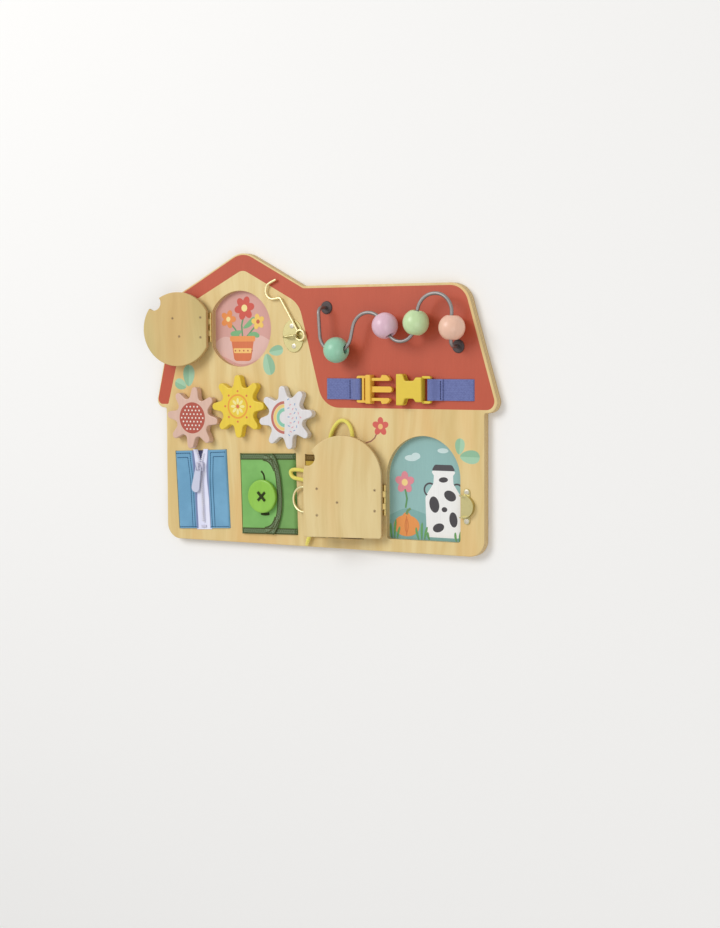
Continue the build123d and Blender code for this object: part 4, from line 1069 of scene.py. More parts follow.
def print_on(name: str, colour: Tint, loops: Sequence[Sequence[Point]], height: float, body: str,
             slot: str | None = None, pierced: bool = False) -> bpy.types.Object:
    """Lays a printed shape on a flat face.

    Args:
        name: The piece's name, which its ink shares.
        colour: The ink's colour.
        loops: Its outlines.
        height: Height of the printed face.
        body: The body that carries the face.
        slot: Not used; it is only passed on to done.
        pierced: Whether an outline inside another is a hole, and not a shape of its own.

    Returns:
        The printed shape.
    """
    groups = [loops] if pierced else [[loop] for loop in loops]
    low = height - INK_DEPTH
    piece = Piece.outline(name, groups[0], low, height)
    for index, group in enumerate(groups[1:]):
        piece.joined(Piece.outline(f"{name}_part", group, low, height + INK_PART * (1 + index % 4)))
    return piece.done(Ink(f"ink_{name}", colour), body, slot, INK_ANGLE)


def print_layers(layers: Sequence[tuple[str, Tint, list[list[Point]]]], height: float) -> None:
    """Prints a picture on the board layer by layer, from the lowest."""
    for index, (name, colour, loops) in enumerate(layers):
        print_on(name, colour, loops, height + INK_LAYER * index, "board")


# --------------------------------------------------------------------------- boards and doors
@dataclass
class SwungDoor:
    """How a door's shut place turns to its open rest."""

    axis_x: float
    tilt: float
    axis_height: float = 1.8

    def matrix(self) -> Matrix:
        """Gives the matrix in metres from shut to open."""
        pivot = shift_to((self.axis_x, 0, FACE + self.axis_height))
        return pivot @ Matrix.Rotation(-math.radians(180 - self.tilt), 4, "Y") @ pivot.inverted()

    def facing(self) -> Place:
        """Gives the open door's normal."""
        turn = math.radians(self.tilt)
        return math.sin(turn), 0.0, math.cos(turn)


ROUND_SWING = SwungDoor(-129.7, 11.2)
ARCH_SWING = SwungDoor(78.3, 13.5)


@dataclass
class Boards:
    """The two plywood layers, the doors and the red roof printed on the front."""

    ink_top: float = FACE + INK_PROUD
    roof_red: Tint = tint(191, 77, 44)
    roof: tuple[tuple[float, float, float], ...] = (
        (-90.0, 150.8, 24.0), (-16.6, 112.2, 4.0), (164.9, 112.2, 20.0), (200.5, -6.8, 8.5),
        (6.2, -6.8, 24.0), (-21.8, 97.2, 26.0), (-90.0, 132.8, 12.0), (-158.1, 98.6, 6.0),
        (-186.6, -5.8, 2.0), (-200.9, -5.8, 5.5), (-174.2, 105.7, 6.0),
    )

    def build(self) -> None:
        """Dresses the plywood and prints the roof."""
        dress("front_panel", Plywood("front_plywood"))
        dress("back_panel", Plywood("back_plywood", tint(226, 200, 144), tint(204, 170, 108), ply=1.0))
        # Painted shade: the round door's plywood gets darker tints than the front's, for the slight shade
        # that it lies in.
        dress("round_door", Plywood("round_door_plywood_painted_shade", tint(214, 194, 132), tint(190, 166, 102),
                                    warm=tint(210, 166, 100), facing=ROUND_SWING.facing(), ply=1.14))
        dress("arch_door", Plywood("arch_door_plywood", tint(230, 208, 152), tint(212, 184, 122),
                                   facing=ARCH_SWING.facing(), ply=1.14))
        print_on("roof_print", self.roof_red, [softened(self.roof)], self.ink_top, "board", "front_ply")


@dataclass
class Sprigs:
    """Mint leaves and one small flower printed between the fittings."""

    top: float = FACE + INK_PROUD
    light: Tint = tint(164, 206, 172)
    deep: Tint = tint(142, 188, 152)
    leaves: tuple[tuple[Point, Point, float], ...] = (
        ((-159.9, 13.1), (-159.1, 35.4), 15.5), ((-163.0, 12.2), (-177.1, 17.8), 11.8),
        ((-61.5, 46.6), (-56.2, 25.5), 15.0), ((-57.9, 48.6), (-41.3, 51.4), 11.2),
        ((159.9, -49.6), (161.3, -34.3), 11.0), ((160.9, -51.7), (182.1, -52.0), 14.0),
    )
    flower_at: Point = (72.6, -24.6)
    stalk: tuple[Point, ...] = ((68.4, -31.2), (66.0, -36.0), (61.6, -39.4), (55.4, -41.0))

    def build(self) -> None:
        """Prints the leaves in two greens, then the flower."""
        over = self.top + INK_OVER
        shade = [leaf(*spot, half=True) for spot in self.leaves]
        ring = petals(self.flower_at, 5.16, (4.2, 3.2), 5, 18)
        print_on("leaf_prints", self.light, [leaf(*spot) for spot in self.leaves], self.top, "board")
        print_on("leaf_shade_prints", self.deep, shade, over, "board")
        print_on("flower_petal_prints", tint(214, 92, 80), ring, self.top, "board")
        print_on("flower_heart_print", tint(240, 190, 120), [circle(self.flower_at, 2.7, 24)], over, "board")
        print_on("flower_stalk_print", tint(150, 92, 76), [band(self.stalk, 1.5, 0.7)], self.top, "board")


@dataclass
class RoundPicture:
    """Potted flowers printed behind the round door."""

    top: float = BACK_TOP + INK_PROUD
    centre: Point = (-94.6, 72.45)
    radius: float = 39.6

    def build(self) -> None:
        """Prints the picture layer by layer."""
        print_layers([
            ("round_picture_ground", tint(214, 160, 150), [circle(self.centre, self.radius, 96)]),
            ("round_picture_hills", tint(226, 184, 174), [softened([
                (-133, 56, 0.5), (-118, 66, 14), (-96, 58, 16), (-74, 67, 14), (-56, 58, 0.5), (-60, 48, 0.5),
                (-94.6, 33.4, 30), (-128, 48, 0.5)])]),
            ("round_picture_stems", tint(96, 148, 96), [
                band([(-95, 64), (-96, 76), (-93, 88)], 1.9), band([(-99, 64), (-104, 72), (-111, 79)], 1.7),
                band([(-90, 64), (-84, 70), (-78, 76)], 1.7)]),
            ("round_picture_leaves", tint(120, 176, 120), [
                leaf((-96, 70), (-110, 67), 6.6, 1.0), leaf((-94, 73), (-80, 84), 6.0, -1.2),
                leaf((-88, 66), (-74, 65), 6.0, 1.0)]),
            ("round_picture_pot", tint(214, 112, 62), [softened([
                (-109, 61, 1), (-81, 61, 1), (-84.6, 39.4, 4), (-105.4, 39.4, 4)])]),
            ("round_picture_pot_rim", tint(236, 150, 78), [softened([
                (-111, 65, 1.6), (-79, 65, 1.6), (-79.6, 59.4, 1.6), (-110.4, 59.4, 1.6)])]),
            ("round_picture_pot_band", tint(244, 196, 112), [softened([
                (-106.6, 52.5, 1), (-83.6, 52.5, 1), (-84.4, 47.5, 1), (-105.6, 47.5, 1)])]),
            ("round_picture_petals", tint(206, 78, 62), petals((-92.4, 93.6), 7.2, (5.2, 3.9), 6, 10)),
            ("round_picture_side_petals", tint(232, 140, 66), petals((-112.6, 82.4), 5.4, (4.2, 3.2), 5)),
            ("round_picture_small_petals", tint(242, 200, 96), petals((-75.6, 79.6), 4.6, (3.6, 2.8), 5, 30)),
            ("round_picture_hearts", tint(250, 226, 150), [
                circle((-92.4, 93.6), 3.6, 28), circle((-112.6, 82.4), 2.6, 24)]),
            ("round_picture_small_heart", tint(196, 96, 62), [circle((-75.6, 79.6), 2.2, 20)]),
            ("round_picture_spots", tint(186, 96, 62), [
                circle((-104 + 5.2 * i, 50), 0.9, 14) for i in range(5)]),
        ], self.top)


@dataclass
class ArchPicture:
    """A dappled milk churn, a pumpkin and grass printed behind the arched door."""

    top: float = BACK_TOP + INK_PROUD
    ground: tuple[tuple[float, float, float], ...] = (
        (78.6, -135.4, 2.0), (161.8, -135.4, 2.0), (161.8, -33.0, 41.2), (78.6, -33.0, 41.2))
    blades: tuple[tuple[float, float, float], ...] = (
        (82, -1.5, 15), (85, 1.5, 19), (88, 3, 12), (112, -3, 12), (115.5, 0.5, 17), (118.5, 3.2, 13),
        (124, -2, 8), (157, 2, 11), (153.8, -1.4, 9))

    def build(self) -> None:
        """Prints the picture layer by layer."""
        churn = softened([
            (121, -131.5, 4), (158, -131.5, 4), (159.5, -92, 8), (150.5, -79, 4), (150, -71, 1.5),
            (154, -66.5, 1.5), (125, -66.5, 1.5), (129, -71, 1.5), (128.5, -79, 4), (119.5, -92, 8)])
        print_layers([
            ("arch_picture_ground", tint(144, 186, 182), [softened(self.ground)]),
            ("arch_picture_field", tint(124, 171, 165), [softened([
                (78.6, -112, 0.5), (98, -103, 22), (130, -112, 24), (161.8, -102, 0.5), (161.8, -135.4, 1),
                (78.6, -135.4, 1)])]),
            ("arch_picture_clouds", tint(206, 228, 226), [
                oval((104, -55), 7.5, 3.0), oval((109, -53), 5.0, 3.4), oval((139, -47), 6.0, 2.4)]),
            ("arch_picture_churn", tint(244, 243, 240), [churn]),
            ("arch_picture_patches", tint(54, 50, 54), [
                oval((129.4, -99.5), 5.4, 8.0, 12), oval((146.8, -90.5), 6.8, 4.9, -24),
                oval((150.4, -113.5), 4.4, 7.4, 8), oval((134.0, -122.0), 6.4, 4.2, 18),
                oval((140.6, -104.0), 3.1, 2.5, 0), oval((139.5, -75.2), 5.0, 2.6, 4)]),
            ("arch_picture_lid", tint(66, 62, 66), [softened([
                (126.5, -66.4, 1), (152.5, -66.4, 1), (149, -60.6, 3), (130, -60.6, 3)])]),
            ("arch_picture_handles", tint(66, 62, 66), [
                band(arc((154.4, -85.2), 6.2, 120, -60, 14), 1.7),
                band(arc((124.6, -85.2), 6.2, 60, 240, 14), 1.7)]),
            ("arch_picture_pumpkin", tint(232, 148, 72), [
                oval((98.5, -121.5), 14.5, 10.5), oval((98.5, -119.6), 6.5, 11.4)]),
            ("arch_picture_pumpkin_ribs", tint(206, 116, 52), [
                band(arc((113.5, -121.5), 16.8, 150, 210, 12), 0.9),
                band(arc((83.5, -121.5), 16.8, 30, -30, 12), 0.9),
                band([(98.5, -111.6), (98.5, -131.4)], 0.9)]),
            ("arch_picture_stalk", tint(110, 142, 84), [
                band([(98.5, -110.4), (99.6, -106.6), (103.0, -104.4)], 3.0, 0.7)]),
            ("arch_picture_petals", tint(226, 138, 148), petals((96.5, -79.0), 6.0, (5.0, 3.9), 5, 18)),
            ("arch_picture_heart", tint(250, 214, 140), [circle((96.5, -79.0), 3.4, 24)]),
            ("arch_picture_stem", tint(90, 146, 84), [
                band([(97.0, -85.6), (99.0, -95.0), (97.4, -104.0)], 1.8)]),
            ("arch_picture_grass", tint(98, 158, 86), [
                leaf((foot, -134.6), (foot + lean, -134.6 + tall), 2.6, 0.4)
                for foot, lean, tall in self.blades]),
        ], self.top)


# --------------------------------------------------------------------------- screws and hinges
@dataclass
class Screws:
    """Cross-recessed heads where screws hold the metal, and their tips in the doors' backs."""

    head: float = 2.45
    shank: float = 0.5
    proud: float = 0.35
    dome: tuple[float, float] = (0.12, 0.05)
    recess: float = 0.75
    arm: float = 1.45
    arm_half: float = 0.3
    tip: float = 1.35

    def model(self) -> bpy.types.Object:
        """Models one head about the origin, its seat at height zero."""
        piece = Piece.drum("screw_model", (0, 0, -self.shank), self.head, self.shank + self.proud, 28)
        piece.pick(Pick.FACES, upward)
        piece.inset(0.55).shift((0, 0, self.dome[0])).inset(0.8).shift((0, 0, self.dome[1])).shaped()
        top = self.proud + sum(self.dome)
        for x, y in ((self.arm, self.arm_half), (self.arm_half, self.arm)):
            cutter = Piece.cube("screw_cross", (-x, -y, top - self.recess), (x, y, top + 0.3)).obj
            piece.with_modifier("BOOLEAN", operation="DIFFERENCE", object=cutter, solver="EXACT")
            bpy.data.objects.remove(cutter)
        return piece.obj

    def heads(self, name: str, spots: Sequence[Point], seat: float, body: str,
              door: SwungDoor | None) -> None:
        """Sets heads on a plate.

        Args:
            name: The piece's name.
            spots: Where the screws are, on the shut board.
            seat: Height of the plate's upper face.
            body: The body that they ride on.
            door: The door that carries them, if one does.
        """
        carried = door.matrix() if door else Matrix.Identity(4)
        places = []
        for index, (x, y) in enumerate(spots):
            turn = Matrix.Rotation(math.radians(37 * index + 12), 4, "Z")
            places.append(carried @ shift_to((x, y, seat)) @ turn)
        copies(name, self.model(), places).done(SCREW_ZINC, body, "zinc_screw", METAL_ANGLE)

    def tips(self, name: str, spots: Sequence[Point], body: str, door: SwungDoor) -> None:
        """Shows where screws just reach a door's back.

        Args:
            name: The piece's name.
            spots: Where the screws are, on the shut board.
            body: The door's body.
            door: How the door is swung.
        """
        dent = Piece.drum("tip_model", (0, 0, -0.06), self.tip, 0.18, 18).pick(Pick.FACES, downward)
        model = dent.inset(0.45).shift((0, 0, 0.1)).inset(0.3).shift((0, 0, -0.1)).shaped()
        places = [door.matrix() @ shift_to((x, y, BACK_TOP + DOOR_CLEARANCE)) for x, y in spots]
        burr = Paint("screw_tip_burr", tint(122, 96, 66), 0.5, 0.0)
        copies(name, model, places).done(burr, body, None, METAL_ANGLE)


@dataclass
class Hardware:
    """Hinges, hook and eye, draw latch and their screws."""

    screws: Screws = field(default_factory=Screws)
    round_hinge_y: float = 74.1
    arch_hinge_y: float = -96.8
    reach: float = 8.2
    pitch: float = 20.4
    leaf: float = 0.8
    plate: float = 1.2
    sheet: float = 1.0
    eye_spots: tuple[Point, ...] = ((-89.9, 83.75), (-97.3, 64.85))
    hook_spots: tuple[Point, ...] = ((-29.7, 74.58), (-27.3, 54.42))
    latch_spots: tuple[Point, ...] = ((146.3, -86.25), (146.3, -112.55), (125.2, -99.4))
    catch_spots: tuple[Point, ...] = ((168.5, -85.4), (168.5, -113.4))

    def hinge_spots(self, axis_x: float, y: float, side: int) -> list[Point]:
        """Gives one leaf's two screw spots."""
        return [(axis_x + side * self.reach, y + end * self.pitch / 2) for end in (-1, 1)]

    def finish(self) -> None:
        """Dresses the metal."""
        for finish, nodes in (
                (HINGE_BRASS, ("round_hinge_board_leaf", "round_hinge_door_leaf", "round_hinge_pin",
                               "arch_hinge_board_leaf", "arch_hinge_door_leaf", "arch_hinge_pin")),
                (PALE_BRASS, ("hook_plate", "eye_plate", "latch_base", "latch_pin", "latch_lever",
                              "latch_catch")),
                (WIRE_BRASS, ("wire_hook", "latch_bail")),
                (SCREW_ZINC, ("board_screws", "round_door_screws", "arch_door_screws", "maze_push_nuts"))):
            for node in nodes:
                dress(node, finish, METAL_ANGLE)

    def build(self) -> None:
        """Dresses the metal and sets the screws."""
        self.finish()
        round_at, arch_at = (ROUND_SWING.axis_x, self.round_hinge_y), (ARCH_SWING.axis_x, self.arch_hinge_y)
        board_leaf = self.hinge_spots(*round_at, -1) + self.hinge_spots(*arch_at, -1)
        round_leaf, arch_leaf = self.hinge_spots(*round_at, 1), self.hinge_spots(*arch_at, 1)
        for name, spots, thick, body, door in (
                ("board_hinge_heads", board_leaf, self.leaf, "board", None),
                ("hook_plate_heads", self.hook_spots, self.plate, "board", None),
                ("catch_heads", self.catch_spots, self.sheet, "board", None),
                ("round_hinge_heads", round_leaf, self.leaf, "round_door_body", ROUND_SWING),
                ("eye_plate_heads", self.eye_spots, self.plate, "round_door_body", ROUND_SWING),
                ("arch_hinge_heads", arch_leaf, self.leaf, "arch_door_body", ARCH_SWING),
                ("latch_heads", self.latch_spots, self.sheet, "arch_door_body", ARCH_SWING)):
            self.screws.heads(name, spots, FACE + thick, body, door)
        self.screws.tips("round_door_tips", round_leaf + list(self.eye_spots), "round_door_body", ROUND_SWING)
        self.screws.tips("arch_door_tips", arch_leaf + list(self.latch_spots), "arch_door_body", ARCH_SWING)


# --------------------------------------------------------------------------- gears
@dataclass
class Gears:
    """Three painted gears with a simple print on each."""

    gear_top: float = 18.3
    sun: Point = (-91.2, -6.8)
    pink: Point = (-148.92, -19.49)
    white: Point = (-33.03, -17.27)

    def dots(self, centre: Point, pitch: float, limit: float, radius: float) -> list[list[Point]]:
        """Fills a disc with staggered dots.

        Args:
            centre: The disc's middle.
            pitch: Distance between dots.
            limit: Furthest that a dot's middle may be.
            radius: A dot's radius.

        Returns:
            Their outlines.
        """
        found = []
        for row in range(-5, 6):
            for column in range(-5, 6):
                x = (column + 0.5 * (row % 2)) * pitch
                y = row * pitch * 0.86
                if math.hypot(x, y) <= limit:
                    found.append(circle((centre[0] + x, centre[1] + y), radius, 14))
        return found

    def dashes(self) -> list[list[list[Point]]]:
        """Scatters short strokes over the white gear's plain half.

        Returns:
            Two sets of outlines, one for each ink.
        """
        sets: list[list[list[Point]]] = [[], []]
        for row in range(-4, 5):
            for column in range(4):
                x, y = 4.0 + 4.7 * column + 2.3 * (row % 2), 4.5 * row
                if math.hypot(x, y) > 18.8:
                    continue
                count = 4 * row + column
                x += self.white[0] + 0.7 * math.sin(3.1 * count)
                y += self.white[1] + 0.7 * math.cos(2.3 * count)
                turn = math.radians(47 * count)
                dx, dy = 1.25 * math.cos(turn), 1.25 * math.sin(turn)
                sets[(row + column) % 2].append(band([(x - dx, y - dy), (x + dx, y + dy)], 0.85))
        return sets

    def finish(self) -> None:
        """Paints the gears and dresses what they turn on."""
        for name, colour in (("pink", tint(220, 182, 163)), ("sun", tint(236, 204, 50)),
                             ("white", tint(227, 223, 223))):
            dress(f"{name}_gear", Paint(f"{name}_gear_paint", colour), METAL_ANGLE)
            beech = Plywood(f"{name}_axle_beech", tint(214, 176, 126), tint(196, 156, 104))
            dress(f"{name}_gear_axle", beech, METAL_ANGLE)
        dress("gear_washers", Plywood("washer_beech", tint(220, 184, 134), tint(200, 160, 108)), METAL_ANGLE)

    def print_sun(self, top: float) -> None:
        """Prints a ring, spots and petals on the yellow gear."""
        ring = [circle(self.sun, 12.6, 64), circle(self.sun, 10.8, 64)]
        spots = [circle(around(self.sun, 15.6, 45 * i), 1.15, 16) for i in range(8)]
        for name, colour, loops, pierced in (
                ("ring", tint(236, 158, 46), ring, True), ("spots", tint(222, 112, 62), spots, False),
                ("petals", tint(250, 232, 150), petals(self.sun, 5.6, (3.0, 1.5), 8), False),
                ("heart", tint(222, 112, 62), [circle(self.sun, 2.0, 24)], False)):
            print_on(f"sun_gear_{name}", colour, loops, top, "sun_gear_body", pierced=pierced)

    def build(self) -> None:
        """Paints the gears and prints on them."""
        self.finish()
        top = self.gear_top + INK_PROUD
        dots = self.dots(self.pink, 4.5, 13.9, 0.95)
        print_on("pink_gear_disc", tint(176, 74, 54), [circle(self.pink, 16.2, 72)], top, "pink_gear_body")
        print_on("pink_gear_dots", tint(244, 230, 218), dots, top + INK_OVER, "pink_gear_body")
        self.print_sun(top)
        bows = ((15.2, tint(192, 106, 92), 2.8), (11.8, tint(236, 206, 124), 3.4),
                (8.0, tint(132, 198, 170), 3.4))
        for index, (radius, colour, width) in enumerate(bows):
            bow = band(arc((self.white[0] - 0.6, self.white[1]), radius, 92, 268, 30), width)
            print_on(f"white_gear_bow_{index + 1}", colour, [bow], top, "white_gear_body")
        inks = (("blue", tint(124, 160, 200)), ("rose", tint(224, 148, 160)))
        for (name, colour), loops in zip(inks, self.dashes()):
            print_on(f"white_gear_{name}_dashes", colour, loops, top, "white_gear_body")


# --------------------------------------------------------------------------- bead maze and buckle
@dataclass
class BeadMaze:
    """Bent wire in two dark grommets with four lacquered beads."""

    def build(self) -> None:
        """Dresses the maze."""
        dress("maze_wire", MAZE_STEEL, TURNED_ANGLE)
        dress("maze_grommets", Moulding("grommet_rubber", tint(70, 58, 58), 0.5), TURNED_ANGLE)
        for node, colour in (("green_bead", tint(150, 206, 174)), ("pink_bead", tint(229, 190, 206)),
                             ("lime_bead", tint(200, 226, 170)), ("peach_bead", tint(243, 196, 170))):
            dress(node, Paint(f"{node}_lacquer", colour, 0.34, 0.35, 0.01), TURNED_ANGLE)


def swept_strip(name: str, spine: Sequence[Point], low_y: float, high_y: float, columns: int = 12) -> Piece:
    """Lays a flat strip along a line in the X and Z plane, with a map in millimetres.

    Args:
        name: The piece's name.
        spine: The line, as x and height.
        low_y: The strip's lower edge.
        high_y: Its upper edge.
        columns: Squares across the strip.

    Returns:
        The strip as a single sheet.
    """
    lengths = [0.0]
    for start, end in zip(spine, spine[1:]):
        lengths.append(lengths[-1] + math.dist(start, end))
    total = lengths[-1]

    def at(across: float, along: float) -> Place:
        """Gives the point at shares across and along."""
        want = along * total
        index = max(i for i, length in enumerate(lengths) if length <= want + 1e-9)
        index = min(index, len(spine) - 2)
        share = (want - lengths[index]) / (lengths[index + 1] - lengths[index])
        x, z = (a + (b - a) * share for a, b in zip(spine[index], spine[index + 1]))
        return x, low_y + (high_y - low_y) * across, z

    piece = Piece.grid(name, columns, max(40, int(total / 0.7)), at)
    for entry in piece.obj.data.uv_layers["strip"].data:
        entry.uv = (entry.uv[1] * total, entry.uv[0] * (high_y - low_y))
    return piece


def eased(points: Sequence[Point], steps_each: int) -> list[Point]:
    """Runs a smooth line through corner points.

    Args:
        points: The corners, as x and height.
        steps_each: Points at each corner's bend.

    Returns:
        A line that bends round each corner.
    """
    smooth = [points[0]]
    for before, here, after in zip(points, points[1:], points[2:]):
        for t in (i / steps_each for i in range(steps_each + 1)):
            smooth.append(tuple((1 - t) ** 2 * (a + b) / 2 + 2 * t * (1 - t) * b + t * t * (b + c) / 2
                                for a, b, c in zip(before, here, after)))
    return smooth + [points[-1]]


class Stitches:
    """Sewing: rows of short raised stitches."""

    @staticmethod
    def dash(length: float, radius: float) -> bpy.types.Object:
        """Models one stitch along X about the origin."""
        piece = Piece.cube("stitch_model", (-length / 2, -radius, -radius), (length / 2, radius, radius))
        piece.pick(Pick.EDGES, everything).bevel(radius * 0.7, 2)
        piece.pick(Pick.VERTS, lambda middle, _: abs(middle.x) > length * 0.42).squeeze((1, 0.6, 0.6))
        return piece.shift((0, 0, -radius * 0.5)).shaped()

    @staticmethod
    def row(path: Sequence[Place], pitch: float) -> list[tuple[Vector, float]]:
        """Spaces points evenly along a path.

        Args:
            path: The path in millimetres.
            pitch: Distance between points.

        Returns:
            Each point with the path's heading in radians.
        """
        spots = []
        carry = pitch / 2
        for start, end in zip(path, path[1:]):
            a, b = Vector(start), Vector(end)
            run = b - a
            heading = math.atan2(run.y, run.x)
            along = carry
            while along < run.length:
                spots.append((a + run.normalized() * along, heading))
                along += pitch
            carry = along - run.length
        return spots

    @classmethod
    def line(cls, name: str, paths: Sequence[Sequence[Place]], finish: Thread, body: str, pitch: float,
             length: float, radius: float, slant: float = 0.0, slot: str | None = None) -> bpy.types.Object:
        """Sews rows of stitches as one piece.

        Args:
            name: The piece's name.
            paths: The rows in millimetres.
            finish: The thread.
            body: The body that they ride on.
            pitch: Distance between stitches.
            length: A stitch's length.
            radius: The thread's radius.
            slant: Degrees that each stitch is turned off its row.
            slot: Not used; it is only passed on to done.

        Returns:
            The stitches.
        """
        places = []
        for path in paths:
            for index, (spot, heading) in enumerate(cls.row(path, pitch)):
                sway = 4 * math.sin(index * 2.4)
                turn = Matrix.Rotation(heading + math.radians(slant + sway), 4, "Z")
                places.append(shift_to(spot) @ turn)
        return copies(name, cls.dash(length, radius), places).done(finish, body, slot, CLOTH_ANGLE)


@dataclass
class Buckle:
    """Yellow side-release buckle on two loops of blue webbing."""

    middle_y: float = 12.0
    width: float = 20.6
    thickness: float = 1.3
    bar_reach: float = 3.0
    slot_height: float = 4.0
    seam_back: float = 9.4
    prong_yellow: Moulding = Moulding("buckle_prong_yellow", tint(240, 192, 70))
    shell_yellow: Moulding = Moulding("buckle_shell_yellow", tint(230, 200, 62))
    blue: Webbing = Webbing("strap_blue", tint(132, 142, 192), tint(84, 94, 152), 1.7)
    sewing: Thread = Thread("strap_thread", tint(48, 50, 98))

    def strap(self, name: str, node: str, anchor: float, bar: float, way: int, body: str) -> None:
        """Lays one strap from its slot round the buckle's bar and back on itself.

        Args:
            name: The piece's name.
            node: The node that it stands for.
            anchor: x of its slot.
            bar: x of the bar's outer side.
            way: 1 where the strap leads right from its slot, else -1.
            body: The half that it pulls on.
        """
        half = self.thickness / 2
        low, over = FACE + half + 0.05, FACE + self.thickness * 1.5 + 0.15
        far = bar + way * (self.bar_reach + half)
        slot = anchor - way * half
        spine = eased([
            (slot, self.slot_height), (slot, low + 0.1), (anchor + way * 3.0, low), (bar - way * 6.0, low),
            (far - way * 0.6, low + 0.2), (far, low + 2.4), (far - way * 0.4, FACE + 5.5),
            (bar - way * 1.2, FACE + 5.6), (bar - way * 5.0, over + 0.8), (bar - way * 8.0, over),
            (bar - way * 11.6, over)], 8)
        low_y, high_y = self.middle_y - self.width / 2, self.middle_y + self.width / 2
        piece = swept_strip(name, spine, low_y, high_y)
        piece.with_modifier("SOLIDIFY", thickness=self.thickness * MM, offset=0.0)
        obj = piece.done(self.blue, body, "webbing", TURNED_ANGLE)
        obj.parent = None
        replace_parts(obj, node)
        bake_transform(obj)
        self.width * MM
        lap, top = bar - way * self.seam_back, over + half + 0.06
        rows = [[(lap, low_y + 0.8, top), (lap, high_y - 0.8, top)]]
        Stitches.line(f"{name}_seam", rows, self.sewing, body, 2.3, 2.1, 0.42, 0.0, "webbing")

    def build(self) -> None:
        """Dresses the buckle and lays the straps."""
        for node in ("buckle_male", "buckle_male_arms"):
            dress(node, self.prong_yellow, METAL_ANGLE)
        dress("buckle_female", self.shell_yellow, METAL_ANGLE)
        self.strap("left_strap", "strap_left", 12.0, 49.0, 1, "buckle_male_body")
        self.strap("right_strap", "strap_right", 175.7, 131.8, -1, "buckle_female_body")


# --------------------------------------------------------------------------- cloth panels
def one_side(side: int, inner: Edge, outer: Edge) -> tuple[Edge, Edge]:
    """Gives the left and right edge of a sheet on one side (-1 or 1) of a panel's middle."""
    near, far = (lambda v: side * inner(v)), (lambda v: side * outer(v))
    return (far, near) if side < 0 else (near, far)


def at_edge(distance: float) -> Edge:
    """Gives an edge that stays at one distance."""
    return lambda v: distance


@dataclass
class ClothPanel:
    """A panel's own frame: its middle, turn and the cloth's gentle unevenness."""

    centre: Point
    width: float
    height: float
    turn: float

    def spot(self, u: float, v: float, z: float) -> Place:
        """Gives the board's place of a point on the panel."""
        x, y = turned(u, v, self.turn)
        return self.centre[0] + x, self.centre[1] + y, z

    def cloth(self, name: str, warp: Tint, weft: Tint, weave: Weave, pitch: float, **more: object) -> Cloth:
        """Gives a cloth whose threads follow the panel."""
        return Cloth(name, warp, weft, weave, pitch, self.turn, (*self.centre, 0), **more)

    def rows(self, lines: Sequence[Sequence[Point]], surface: Surface, proud: float) -> list[list[Place]]:
        """Lays lines of sewing a little proud of a cloth's upper face."""
        return [[self.spot(u, v, surface(u, v) + proud) for u, v in line] for line in lines]

    def swell(self, u: float, v: float, seed: float) -> float:
        """Gives the cloth's lift at a point, in millimetres."""
        return noise.noise(Vector((u * 0.05, v * 0.035, seed))) * 0.5

    def drop(self, inward: float) -> float:
        """Gives how far the cloth has turned down into its slot at a distance from its side."""
        return 1.5 * max(0.0, 1.6 - inward) ** 2

    def sheet(self, name: str, left: Edge, right: Edge, low: float, thick: float, lift: Surface,
              tuck: Sequence[int], columns: int, rows: int) -> Piece:
        """Cuts a cloth between two edges and lays it on the panel.

        Args:
            name: The piece's name.
            left: Gives its left edge for a height on the panel.
            right: Gives its right edge.
            low: Height of its underside.
            thick: Its thickness.
            lift: How far it stands up at a point.
            tuck: -1 and 1 for the sides that go down into a slot.
            columns: Squares across.
            rows: Squares along.

        Returns:
            The cloth with its thickness.
        """
        half = self.height / 2
        middle = low + thick / 2

        def at(across: float, along: float) -> Place:
            """Gives the point at shares across and along."""
            v = -half + along * self.height
            a, b = left(v), right(v)
            u = a + (b - a) * across
            z = middle + lift(u, v)
            for side in tuck:
                z -= self.drop(abs(u - (a if side < 0 else b)))
            return self.spot(u, v, z)

        piece = Piece.grid(name, columns, rows, at)
        return piece.with_modifier("SOLIDIFY", thickness=thick * MM, offset=0.0, use_rim=True).mended()


